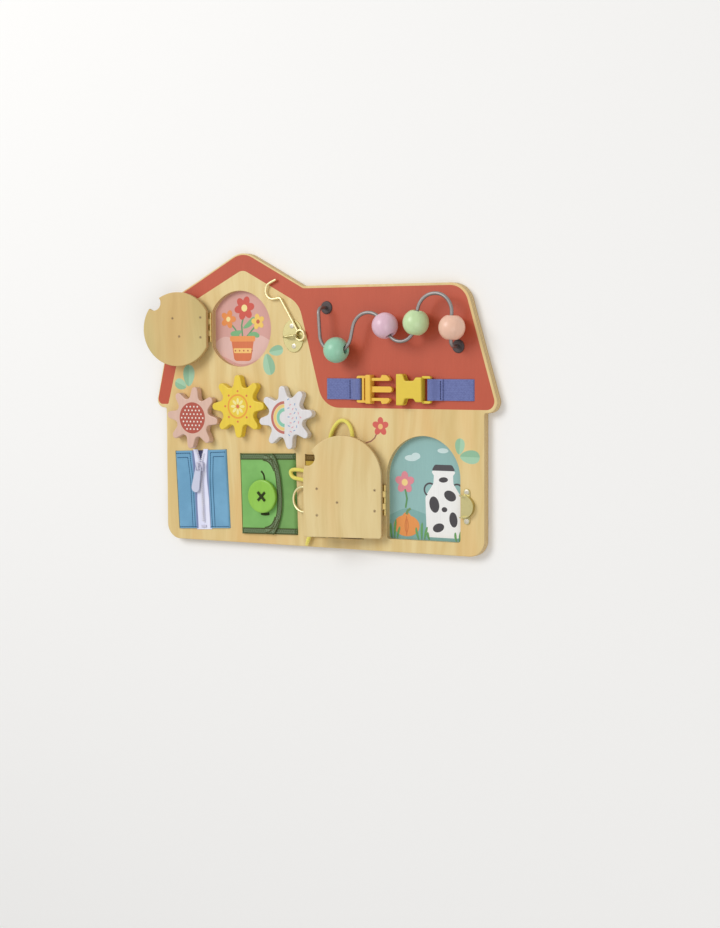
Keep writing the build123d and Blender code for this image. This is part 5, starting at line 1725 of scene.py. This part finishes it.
@dataclass(frozen=True)
class Overlock:
    """A band of close sewing that binds a cloth's edge."""

    ground: Thread
    wraps: Thread
    chain: Thread
    width: float = 6.0
    pitch: float = 2.7

    def aside(self, line: Sequence[Point], offset: float) -> list[Point]:
        """Moves a line sideways.

        Args:
            line: The line on the panel.
            offset: How far it moves to its left.

        Returns:
            The moved line.
        """
        moved = []
        for i, point in enumerate(line):
            near, far = Vector(line[max(i - 1, 0)]), Vector(line[min(i + 1, len(line) - 1)])
            run = (far - near).normalized()
            moved.append((point[0] - run.y * offset, point[1] + run.x * offset))
        return moved

    def ground_strip(self, panel: ClothPanel, name: str, line: Sequence[Point], surface: Surface) -> Piece:
        """Makes the close sewing that lies under the wraps.

        Args:
            panel: The panel that it is on.
            name: The piece's name.
            line: The band's middle line on the panel.
            surface: Gives the cloth's upper face.

        Returns:
            A domed strip.
        """
        last = len(line) - 1

        def at(across: float, along: float) -> Place:
            """Gives the point at shares across and along."""
            index = min(int(along * last), last - 1)
            near, far = (Vector(self.aside(line, (across - 0.5) * self.width)[k]) for k in (index, index + 1))
            u, v = near.lerp(far, along * last - index)
            return panel.spot(u, v, surface(u, v) + 0.12 + 0.2 * (1 - (2 * across - 1) ** 2))

        return Piece.grid(name, 6, 2 * last, at).with_modifier("SOLIDIFY", thickness=0.3 * MM, offset=0.0)

    def sew(self, panel: ClothPanel, name: str, edges: Sequence[tuple[Sequence[Point], Surface]]) -> None:
        """Sews the band along edges: a close ground, slanting wraps over it and a chain on each side.

        Args:
            panel: The panel that it is on.
            name: The piece's name.
            edges: Each band's middle line on the panel, with what gives the cloth's top there.
        """
        wraps, chains, grounds = [], [], []
        for number, (line, surface) in enumerate(edges):
            grounds.append(self.ground_strip(panel, f"{name}_ground_{number + 1}", line, surface))
            wraps += panel.rows([line], surface, 0.5)
            sides = [self.aside(line, side * self.width * 0.45) for side in (-1, 1)]
            chains += panel.rows(sides, surface, 0.42)
        for other in grounds[1:]:
            grounds[0].joined(other)
        grounds[0].mended().done(self.ground, "board", None, CLOTH_ANGLE)
        for part, rows, thread, pitch, length, radius, slant in (
                ("wraps", wraps, self.wraps, self.pitch, self.width * 0.86, 0.34, 62.0),
                ("cross_wraps", wraps, self.wraps, self.pitch, self.width * 0.74, 0.26, -56.0),
                ("chains", chains, self.chain, 1.8, 2.0, 0.36, 8.0)):
            Stitches.line(f"{name}_{part}", rows, thread, "board", pitch, length, radius, slant)


@dataclass
class BoundPanel:
    """A panel with a cloth under flaps, both bound with overlock."""

    panel: ClothPanel
    binding: Overlock
    thick: float = 0.85
    flap_thick: float = 0.85

    def base_lift(self, u: float, v: float) -> float:
        """Gives how far the lower cloth stands up."""
        raise NotImplementedError

    def flap_lift(self, u: float, v: float) -> float:
        """Gives how far the flap stands up."""
        raise NotImplementedError

    def base_top(self, u: float, v: float) -> float:
        """Gives the lower cloth's upper face."""
        inward = self.panel.width / 2 - abs(u)
        return CLOTH_LOW + self.thick + self.base_lift(u, v) - self.panel.drop(inward)

    def flap_top(self, u: float, v: float) -> float:
        """Gives the flap's upper face."""
        inward = self.panel.width / 2 - FLAP_START - abs(u)
        return FLAP_LOW + self.flap_thick + self.flap_lift(u, v) - self.panel.drop(inward)

    def lower_cloth(self, finish: Cloth, name: str, node: str) -> None:
        """Lays the cloth that is under the flaps.

        Args:
            finish: Its finish.
            name: The piece's name.
            node: The node that it stands for.
        """
        panel, half = self.panel, self.panel.width / 2
        piece = panel.sheet(name, at_edge(-half), at_edge(half), CLOTH_LOW, self.thick, self.base_lift,
                            (-1, 1), 30, 56)
        obj = piece.done(finish, "board", name, CLOTH_ANGLE)
        panel.width * MM
        panel.height * MM
        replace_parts(obj, node)


@dataclass
class ZipPanel:
    """Blue cloth with a zip that opens in a V at the top."""

    panel: ClothPanel = field(default_factory=lambda: ClothPanel((-142.9, -94.2), 65.3, 81.4, 2.9))
    tape_half: float = 9.4
    v_half: float = 3.6
    v_depth: float = 12.0
    spread: float = 1.2
    cloth_low: float = FACE + 0.1
    cloth_thick: float = 1.0
    clear: tuple[Point, ...] = (
        (-45.0, 7.6), (-10.0, 7.6), (6.0, 6.1), (24.0, 6.0), (32.0, 7.6), (45.0, 10.4))
    seams_at: Point = (10.9, 14.2)
    corners_down: Point = (2.6, 7.0)
    # Size of the dark sheet that paints the shade inside the zip's open V.
    lining: Point = (10.4, 14.0)
    thread: Thread = Thread("steel_blue_thread", tint(58, 100, 142))

    def opening(self, v: float) -> float:
        """Gives half the tape's opening at a height on the panel."""
        foot = self.panel.height / 2 - self.v_depth
        return max(0.12, self.v_half * (v - foot) / self.v_depth)

    def spreading(self, v: float) -> float:
        """Gives how far the zip has spread towards its open top, from 0 to 1."""
        share = min(1.0, max(0.0, (v - 5.0) / 35.0))
        return share * share * (3 - 2 * share)

    def turned_edge(self, v: float) -> float:
        """Gives how far from the middle the cloth's turned edge leaves the tape clear."""
        return between(self.clear, v)

    def seam(self, which: int, v: float) -> float:
        """Gives the distance of one of the two rows of sewing from the middle."""
        return self.seams_at[which] + 2.4 * self.spreading(v)

    def lift(self, u: float, v: float) -> float:
        """Raises the cloth's fold and the ridge between its seams, and drops its turned edge to the tape."""
        fold = self.tape_half + self.spread * self.spreading(v)
        ridge_at = (self.seam(0, v) + self.seam(1, v)) / 2
        rise = 0.5 * math.exp(-((abs(u) - fold) / 1.8) ** 2)
        if abs(u) < fold:
            rise -= 0.75 * (fold - abs(u)) / max(1.0, fold - self.turned_edge(v))
        ridge = 0.28 * math.exp(-(abs(u) - ridge_at) ** 2)
        return 0.15 + rise + ridge + 0.45 * self.panel.swell(u, v, 3.7 if u > 0 else -3.7)

    def cloth_top(self, u: float, v: float) -> float:
        """Gives the blue cloth's upper face."""
        return self.cloth_low + self.cloth_thick + self.lift(u, v)

    def build(self) -> None:
        """Makes the cloth, the tape and the sewing."""
        panel, half = self.panel, self.panel.width / 2
        # Painted shade: facing gives the blue-violet shade on the fold where the cloth turns down to the
        # tape.
        blue = panel.cloth("blue_twill_painted_fold_shade", tint(124, 176, 206), tint(92, 142, 178), Weave.TWILL, 0.95,
                           facing=tint(132, 146, 186), fold=(self.tape_half, self.spread))
        sheets = []
        for side, name in ((-1, "blue_cloth_left"), (1, "blue_cloth_right")):
            edges = one_side(side, self.turned_edge, at_edge(half))
            piece = panel.sheet(name, *edges, self.cloth_low, self.cloth_thick, self.lift, (side,), 34, 64)
            obj = piece.done(blue, "board", "blue_cloth", CLOTH_ANGLE)
            (half - 7.2) * MM
            panel.height * MM
            sheets.append(obj)
        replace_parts(sheets[0], "zip_cloth")
        self.tape()
        for node, name, colour, rough in (
                ("zip_teeth", "zip_teeth_moulding", tint(228, 226, 236), 0.4),
                ("zip_stop", "zip_stop_moulding", tint(206, 204, 222), 0.4),
                ("zip_slider", "slider_enamel", tint(210, 208, 226), 0.3),
                ("zip_puller", "puller_enamel", tint(208, 210, 230), 0.3)):
            dress(node, Moulding(name, colour, rough), METAL_ANGLE)
        self.sew()

    def tape(self) -> None:
        """Makes the zip's two-part tape and a dark navy sheet under its open V, painted shade inside the
        opening.
        """
        long = ClothPanel(self.panel.centre, self.panel.width, self.panel.height + 2.4, self.panel.turn)
        pale = long.cloth("zip_tape_weave", tint(238, 239, 255), tint(214, 215, 242), Weave.TAPE, 0.8)
        halves = []
        for side, name in ((-1, "zip_tape_weave_cloth"), (1, "zip_tape_right")):
            def lift(u: float, v: float, seed: float = side * 9.1) -> float:
                """Gives how far the tape stands up."""
                return 0.12 + 0.25 * long.swell(u * 2, v * 2, seed)

            edges = one_side(side, self.opening, at_edge(self.tape_half + 0.2))
            halves.append(long.sheet(name, *edges, CLOTH_LOW, 0.55, lift, (), 10, 60))
        tape = halves[0].joined(halves[1]).done(pale, "board", "zip_tape", CLOTH_ANGLE)
        long.height * MM
        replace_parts(tape, "zip_tape")
        # Painted shade: a dark navy sheet under the V stands for the shadow inside the zip's opening.
        wide, tall = self.lining
        middle = self.panel.spot(0, (self.panel.height - tall) / 2, 0)[:2]
        short = ClothPanel(middle, wide, tall, self.panel.turn)
        navy = Cloth("zip_opening_shade_weave", tint(70, 72, 108), tint(46, 48, 80), Weave.PLAIN, 0.7, short.turn)
        piece = short.sheet("navy_lining", at_edge(-wide / 2), at_edge(wide / 2), FACE + 0.02, 0.3,
                            lambda u, v: 0.02, (), 8, 10)
        lining = piece.done(navy, "board", None, CLOTH_ANGLE)

    def sew(self) -> None:
        """Sews the two rows that turn the corner beside the zip's top, and one row along the lower edge."""
        half, tall = self.panel.width / 2, self.panel.height / 2
        lines = []
        for side in (-1, 1):
            for which, down in enumerate(self.corners_down):
                top = tall - down
                line = [(side * self.seam(which, v), v) for v in steps(0.8 - tall, top, 40)]
                line += [(u, top) for u in steps(line[-1][0], side * (half - 2.0), 12)[1:]]
                lines.append(line)
            lines.append([(u, 1.5 - tall) for u in steps(side * 8.6, side * (half - 1.2), 12)])
        rows = self.panel.rows(lines, self.cloth_top, 0.06)
        Stitches.line("blue_cloth_sewing", rows, self.thread, "board", 2.3, 2.05, 0.36)


@dataclass
class ButtonPanel(BoundPanel):
    """Green cloth under a rounded flap with a big wooden button."""

    panel: ClothPanel = field(default_factory=lambda: ClothPanel((-59.9, -95.8), 67.8, 82.4, 1.5))
    button: Point = (-64.3, -98.2)
    edge: tuple[Point, ...] = (
        (-41.2, 5.4), (-37.4, 9.0), (-32.5, 12.2), (-24.0, 15.4), (-16.0, 17.3), (-6.0, 18.0), (4.0, 17.7),
        (16.0, 16.6), (28.0, 14.6), (36.6, 11.4), (41.2, 6.4))
    corner: tuple[Point, ...] = (
        (-4.0, 37.0), (0.0, 36.2), (3.6, 34.6), (6.6, 32.0), (9.0, 28.6), (10.8, 24.6))
    button_foot: float = FACE + 2.2
    button_rise: float = 5.4
    binding: Overlock = Overlock(Thread("olive_ground_thread", tint(84, 108, 66)),
                                 Thread("sage_wrap_thread", tint(172, 186, 152)),
                                 Thread("dark_olive_thread", tint(84, 86, 42)))
    # dark also sews the buttonhole's ends, which are partly thread and partly painted shade of the open slit.
    dark: Thread = Thread("dark_button_thread", tint(58, 68, 30))

    def free_edge(self, v: float) -> float:
        """Gives the flap's free edge at a height on the panel."""
        return between(self.edge, v)

    def build(self) -> None:
        """Makes the cloth, the flap, the button's thread and the sewing."""
        panel, half, tall = self.panel, self.panel.width / 2, self.panel.height / 2
        base = panel.cloth("green_cloth_weave", tint(126, 172, 98), tint(98, 144, 76), Weave.FELT, 0.7)
        over = panel.cloth("green_flap_weave", tint(136, 192, 108), tint(108, 164, 86), Weave.FELT, 0.7)
        self.lower_cloth(base, "green_cloth", "button_cloth")
        flap = panel.sheet("green_flap", at_edge(FLAP_START - half), self.free_edge, FLAP_LOW,
                           self.flap_thick, self.flap_lift, (-1,), 30, 72)
        flap_obj = flap.done(over, "board", "green_cloth", CLOTH_ANGLE)
        (half + 18.0) * MM
        panel.height * MM
        0.93 * (half + 16.2) * panel.height * MM * MM
        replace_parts(flap_obj, "button_flap")
        dress("wooden_button", Paint("lime_button_paint", tint(142, 198, 66), 0.36, 0.3), METAL_ANGLE)
        edges = [([(self.free_edge(v) - 2.9, v) for v in steps(tall - 1.9, 1.9 - tall, 60)], self.flap_top)]
        for side in (-1, 1):
            v = side * (tall - 3.1)
            edges.append(([(u, side * k) for u, k in self.corner], self.flap_top))
            edges.append(([(u, v) for u in steps(7.0, half - 0.6, 24)], self.base_top))
            edges.append(([(u, v) for u in steps(1.0 - half, 6.0, 28)], self.flap_top))
        self.binding.sew(panel, "green_binding", edges)
        self.buttonhole()
        self.button_stitch()

    def base_lift(self, u: float, v: float) -> float:
        """Gives how far the lower cloth stands up."""
        return 0.1 + 0.35 * self.panel.swell(u, v, 1.3)

    def flap_lift(self, u: float, v: float) -> float:
        """Lets the flap's free edge stand off a little and its middle lie flat."""
        near = self.free_edge(v) - u
        return 0.12 + 0.5 * math.exp(-(near / 6.0) ** 2) + 0.25 * self.panel.swell(u, v, 5.9)

    def buttonhole(self) -> None:
        """Sews the buttonhole's two dark ends, which show above and below the button; the dark stitches stand
        partly for thread and partly for painted shade in the open slit.
        """
        away = Vector(self.button) - Vector(self.panel.centre)
        u, v = turned(away.x, away.y, -self.panel.turn)
        upper = [(u + across, v + up) for across, up in
                 ((0.9, 15.0), (0.8, 19.0), (0.2, 21.6), (-1.0, 23.6), (-2.8, 25.4))]
        lower = arc((u + 0.6, v), 18.6, 254, 286, 10)
        # Partly painted shade: these dark stitches also stand for the shadow inside the slit's open ends.
        for name, line, length in (("upper", upper, 2.0), ("lower", lower, 3.0)):
            rows = self.panel.rows([line], self.flap_top, 0.16)
            Stitches.line(f"buttonhole_{name}_sewing", rows, self.dark, "board", 0.4, length, 0.34, 90.0)

    def button_stitch(self) -> None:
        """Ties the button with a crossed stitch of trebled thread."""
        reach = 4.3 * 1.4142
        bar = Piece.drum("stitch_bar_model", (0, 0, -reach), 0.55, 2 * reach, 12)
        bar.pick(Pick.FACES, lambda _, normal: abs(normal.z) > FACING)
        model = bar.inset(0.18).push((0, 0, 0)).shaped()
        level = Matrix.Rotation(math.pi / 2, 4, "Y")
        places = []
        for turn, over in ((45, 0.0), (135, 0.5)):
            middle = shift_to((*self.button, self.button_foot + self.button_rise + over - 0.35))
            spin = Matrix.Rotation(math.radians(turn), 4, "Z")
            places += [middle @ spin @ shift_to((0, side, 0)) @ level for side in (-0.85, 0.0, 0.85)]
        obj = copies("button_cross_stitch", model, places).done(self.dark, "board", "thread", CLOTH_ANGLE)
        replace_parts(obj, "button_thread")


@dataclass
class LacePanel(BoundPanel):
    """Mustard cloth with two flaps that the lace ties together."""

    panel: ClothPanel = field(default_factory=lambda: ClothPanel((18.5, -95.5), 67.0, 83.0, 0.5))
    binding: Overlock = Overlock(Thread("umber_ground_thread", tint(124, 94, 42)),
                                 Thread("tan_wrap_thread", tint(184, 156, 96)),
                                 Thread("umber_chain_thread", tint(100, 72, 32)))
    flap_thick: float = 0.8

    def inner(self, v: float) -> float:
        """Gives how far the flaps' inner edges are from the middle at a height."""
        share = max(0.0, (abs(v) - 22.0) / (self.panel.height / 2 - 22.0))
        return 16.0 - 8.0 * share ** 1.6

    def build(self) -> None:
        """Makes the cloth, the flaps, the eyelets and the sewing."""
        panel, half, tall = self.panel, self.panel.width / 2, self.panel.height / 2
        base = panel.cloth("mustard_cloth_weave", tint(216, 184, 78), tint(184, 150, 56), Weave.PLAIN, 0.9)
        over = panel.cloth("mustard_flap_weave", tint(214, 182, 74), tint(182, 148, 54), Weave.PLAIN, 0.9)
        self.lower_cloth(base, "mustard_cloth", "lace_cloth")
        flaps = []
        for side, name in ((-1, "mustard_flap_left"), (1, "mustard_flap_right")):
            sides = one_side(side, self.inner, at_edge(half - FLAP_START))
            flap = panel.sheet(name, *sides, FLAP_LOW, self.flap_thick, self.flap_lift, (side,), 14, 56)
            made = flap.done(over, "board", "mustard_cloth", CLOTH_ANGLE)
            (half - 8) * MM
            panel.height * MM
            0.8 * (half - 8) * panel.height * MM * MM
            flaps.append(made)
        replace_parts(flaps[0], "lace_flaps")
        self.eyelets()
        edges = []
        for v in (tall - 3.1, 3.1 - tall):
            edges.append(([(u, v) for u in steps(-6.6, 6.6, 12)], self.base_top))
            for side in (-1, 1):
                edges.append(([(side * u, v) for u in steps(9.0, half - 1.0, 20)], self.flap_top))
        for side in (-1, 1):
            line = [(side * (self.inner(v) + 2.8), v) for v in steps(tall - 2.2, 2.2 - tall, 50)]
            edges.append((line, self.flap_top))
        self.binding.sew(panel, "mustard_binding", edges)

    def base_lift(self, u: float, v: float) -> float:
        """Gives how far the lower cloth stands up."""
        return 0.08 + 0.3 * self.panel.swell(u, v, 2.2)

    def flap_lift(self, u: float, v: float) -> float:
        """Gives how far the flaps stand up."""
        return 0.08 + 0.2 * self.panel.swell(u, v, 4.4 if u > 0 else -4.4)

    def eyelets(self) -> None:
        """Sets small plated eyelets along the flaps' inner edges."""
        ring = Piece.ring("eyelet_model", (0, 0, 0), 2.5, 0.75, 28)
        model = ring.pick(Pick.VERTS, lambda middle, _: middle.z < -0.1).squeeze((1, 1, 0.2)).shaped()
        places = [shift_to(self.panel.spot(side * 21.6, v, FACE + 2.1))
                  for side in (-1, 1) for v in (-24.0, 0.0)]
        copies("lace_eyelets", model, places).done(PALE_BRASS, "board", "zinc", TURNED_ANGLE)


# --------------------------------------------------------------------------- lace
@dataclass
class LaceBow:
    """The bow that ties the mustard flaps: two loops, two tails and a knot."""

    radius: float = 2.0
    tip_back: float = 5.0
    knot_at: Place = (19.0, -83.4, 13.4)
    bright: Tint = tint(248, 238, 124)
    deep: Tint = tint(224, 208, 82)
    loop_left: tuple[Place, ...] = (
        (15.6, -85.7, 13.4), (6.6, -83.4, 13.3), (-6.0, -81.2, 13.6), (-18.0, -79.3, 13.2),
        (-29.2, -78.0, 12.6), (-31.6, -70.2, 12.6), (-20.0, -69.4, 13.0), (-6.0, -72.4, 13.6),
        (5.0, -76.4, 13.3), (15.6, -81.2, 12.4))
    loop_up: tuple[Place, ...] = (
        (17.0, -80.2, 14.6), (15.6, -71.0, 13.4), (14.0, -58.0, 12.6), (14.6, -43.0, 12.2),
        (18.6, -28.4, 11.6), (27.6, -18.2, 11.6), (37.4, -20.8, 11.6), (42.8, -32.0, 12.2),
        (41.0, -46.0, 13.2), (35.6, -59.0, 13.6), (28.2, -71.0, 13.4), (21.4, -80.2, 13.6))
    tail_left: tuple[Place, ...] = (
        (17.0, -86.8, 13.4), (20.4, -97.0, 12.6), (20.0, -108.6, 12.6), (11.4, -117.2, 12.8),
        (1.0, -121.4, 13.6), (-6.0, -130.4, 13.4), (-10.8, -141.6, 12.4))
    tail_right: tuple[Place, ...] = (
        (21.6, -84.4, 13.4), (29.8, -94.2, 12.9), (34.6, -105.0, 13.2), (40.2, -115.6, 13.6),
        (40.4, -128.0, 13.6))

    def cord(self, name: str, node: str, route: Sequence[Place]) -> bpy.types.Object:
        """Runs one length of lace along its route.

        Args:
            name: The piece's name.
            node: The node that it stands for.
            route: Its control points in millimetres.

        Returns:
            The lace as a tube.
        """
        nothing_selected()
        line = bpy.data.curves.new(name, "CURVE")
        line.dimensions, line.resolution_u = "3D", 12
        spline = line.splines.new("NURBS")
        spline.points.add(len(route) - 1)
        for target, point in zip(spline.points, route):
            target.co = (*[c * MM for c in point], 1)
        spline.order_u = 3
        spline.use_endpoint_u = True
        obj = linked(name, line)
        bare = bpy.data.meshes.new_from_object(obj.evaluated_get(bpy.context.evaluated_depsgraph_get()))
        path = [tuple(v.co) for v in bare.vertices]
        bpy.data.meshes.remove(bare)
        length = sum(math.dist(a, b) for a, b in zip(path, path[1:]))
        line.bevel_depth, line.bevel_resolution, line.use_fill_caps = self.radius * MM, 5, True
        only(obj)
        bpy.ops.object.convert(target="MESH")
        piece = Piece(bpy.context.object, name)
        finish = Braid(f"{name}_braid", self.bright, self.deep, length * MM_PER_M)
        made = piece.done(finish, "board", "lace", CLOTH_ANGLE)
        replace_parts(made, node)
        return made

    def tip(self, name: str, end: Place, before: Place) -> bpy.types.Object:
        """Models the clear-dipped tip at a tail's end.

        Args:
            name: The piece's name.
            end: The tail's last point.
            before: The point before it.

        Returns:
            The tip.
        """
        run = (Vector(end) - Vector(before)).normalized()
        piece = Piece.drum(name, (0, 0, 0), self.radius * 0.86, 8.5, 20)
        piece.pick(Pick.FACES, upward).push((0, 0, 1.0)).squeeze((0.7, 0.7, 1))
        piece.push((0, 0, 0.4)).squeeze((0.4, 0.4, 1)).shaped()
        turn = Vector((0, 0, 1)).rotation_difference(run).to_matrix().to_4x4()
        piece.moved(shift_to(Vector(end) - run * self.tip_back) @ turn)
        return piece.done(Moulding("lace_tip_dip", tint(244, 226, 110), 0.25), "board", "lace", TURNED_ANGLE)

    def knot(self) -> bpy.types.Object:
        """Winds the knot: three wraps of lace pressed together."""
        x, y, z = self.knot_at
        places = []
        for turn, lean, size, lift in ((28, 8, 1.0, 0.0), (-24, -10, 0.95, 0.3), (86, 0, 0.78, -0.2)):
            spin = Euler((math.radians(90 + lean), 0, math.radians(turn)), "XYZ").to_matrix().to_4x4()
            pressed = Matrix.Diagonal((1.12 * size, 0.62, size, 1))
            places.append(shift_to((x, y, z + lift)) @ spin @ pressed)
        model = Piece.ring("knot_model", (0, 0, 0), 2.35, 1.95, 36).obj
        finish = Cloth("lace_knot_weave", self.bright, self.deep, Weave.TWILL, 1.3, 30.0, (x, y, 0))
        obj = copies("lace_knot_wraps", model, places).done(finish, "board", "lace", CLOTH_ANGLE)
        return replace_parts(obj, "lace_knot")

    def build(self) -> None:
        """Ties the bow."""
        self.knot()
        left_tip = self.tip("lace_tip_left", self.tail_left[-1], self.tail_left[-2])
        right_tip = self.tip("lace_tip_right", self.tail_right[-1], self.tail_right[-2])
        self.cord("lace_left_loop", "lace_loop_left", self.loop_left)
        self.cord("lace_upper_loop", "lace_loop_up", self.loop_up)
        self.cord("lace_left_tail", "lace_tail_left", self.tail_left)
        self.cord("lace_right_tail", "lace_tail_right", self.tail_right)


# --------------------------------------------------------------------------- studio
@dataclass
class Studio:
    """Pale floor, even light and the camera."""

    eye: Place = (977.894, 56.339, 1545.846)
    right: Place = (0.85596, -0.0046175, -0.5170214)
    up: Place = (-0.0300888, 0.9978206, -0.0587254)
    back: Place = (0.5161658, 0.0658231, 0.8539556)
    lens: float = 70.6
    world: float = 0.62

    def camera(self) -> None:
        """Sets the camera."""
        data = bpy.data.cameras.new("camera")
        data.lens, data.sensor_width = self.lens, 36.0
        data.clip_start, data.clip_end = 0.05, 20.0
        obj = linked("camera", data)
        turn = Matrix((self.right, self.up, self.back)).transposed().to_4x4()
        obj.matrix_world = shift_to(self.eye) @ turn
        bpy.context.scene.camera = obj

    def floor(self) -> None:
        """Lays a pale floor that keeps the shadow."""
        nothing_selected()
        bpy.ops.mesh.primitive_plane_add(size=6, location=(0, 0, -0.0004))
        obj = bpy.context.object
        obj.name = "floor"
        shader = Shader("floor_paper")
        vector, _, _, _ = shader.place()
        grit = shader.clouds(vector, 0.5, 2.0)
        shader.surface(tint(246, 245, 243), 0.85 + grit * 0.1, shader.bump(grit, 0.02))
        obj.data.materials.append(shader.material)

    def lamp(self, name: str, place: Place, aim: Place, size: float, power: float) -> None:
        """Hangs one soft lamp.

        Args:
            name: Its name.
            place: Where it hangs, in metres.
            aim: What it points at, in metres.
            size: Its width in metres.
            power: Its power in watts.
        """
        data = bpy.data.lights.new(name, "AREA")
        data.shape, data.size, data.energy = "DISK", size, power
        obj = linked(name, data)
        obj.location = place
        obj.rotation_euler = (Vector(aim) - Vector(place)).to_track_quat("-Z", "Y").to_euler()

    def room(self) -> None:
        """Lights the room evenly and shows it white to the camera and in reflections."""
        room = bpy.data.worlds.new("room")
        bpy.context.scene.world = room
        room.use_nodes = True
        tree = room.node_tree
        tree.nodes.clear()
        paths, shown, plain, white, mix, out = (tree.nodes.new(f"ShaderNode{kind}") for kind in (
            "LightPath", "Math", "Background", "Background", "MixShader", "OutputWorld"))
        plain.inputs[1].default_value = self.world
        white.inputs[1].default_value = 1.0
        shown.operation = "MAXIMUM"
        for source, target in (
                (paths.outputs["Is Camera Ray"], shown.inputs[0]),
                (paths.outputs["Is Glossy Ray"], shown.inputs[1]),
                (shown.outputs[0], mix.inputs[0]), (plain.outputs[0], mix.inputs[1]),
                (white.outputs[0], mix.inputs[2]), (mix.outputs[0], out.inputs[0])):
            tree.links.new(source, target)

    def build(self) -> None:
        """Sets up the camera, the floor, the lamps and the room."""
        self.camera()
        self.floor()
        self.lamp("key_lamp", (-1.0, 1.1, 2.0), (0, 0, 0), 1.4, 30)
        self.lamp("fill_lamp", (1.4, -0.6, 1.6), (0, 0, 0), 1.6, 9)
        self.room()
        bpy.context.scene.view_settings.view_transform = "Standard"


def main() -> None:
    """Builds every sub-assembly in order and logs it."""
    logging.basicConfig(level=logging.INFO, format="%(message)s")
    for part in (Studio(), Boards(), Sprigs(), RoundPicture(), ArchPicture(), Hardware(), Gears(), BeadMaze(),
                 Buckle(), ZipPanel(), ButtonPanel(), LacePanel(), LaceBow()):
        part.build()
        log.info("built %s", type(part).__name__)


if __name__ == "__main__":
    main()
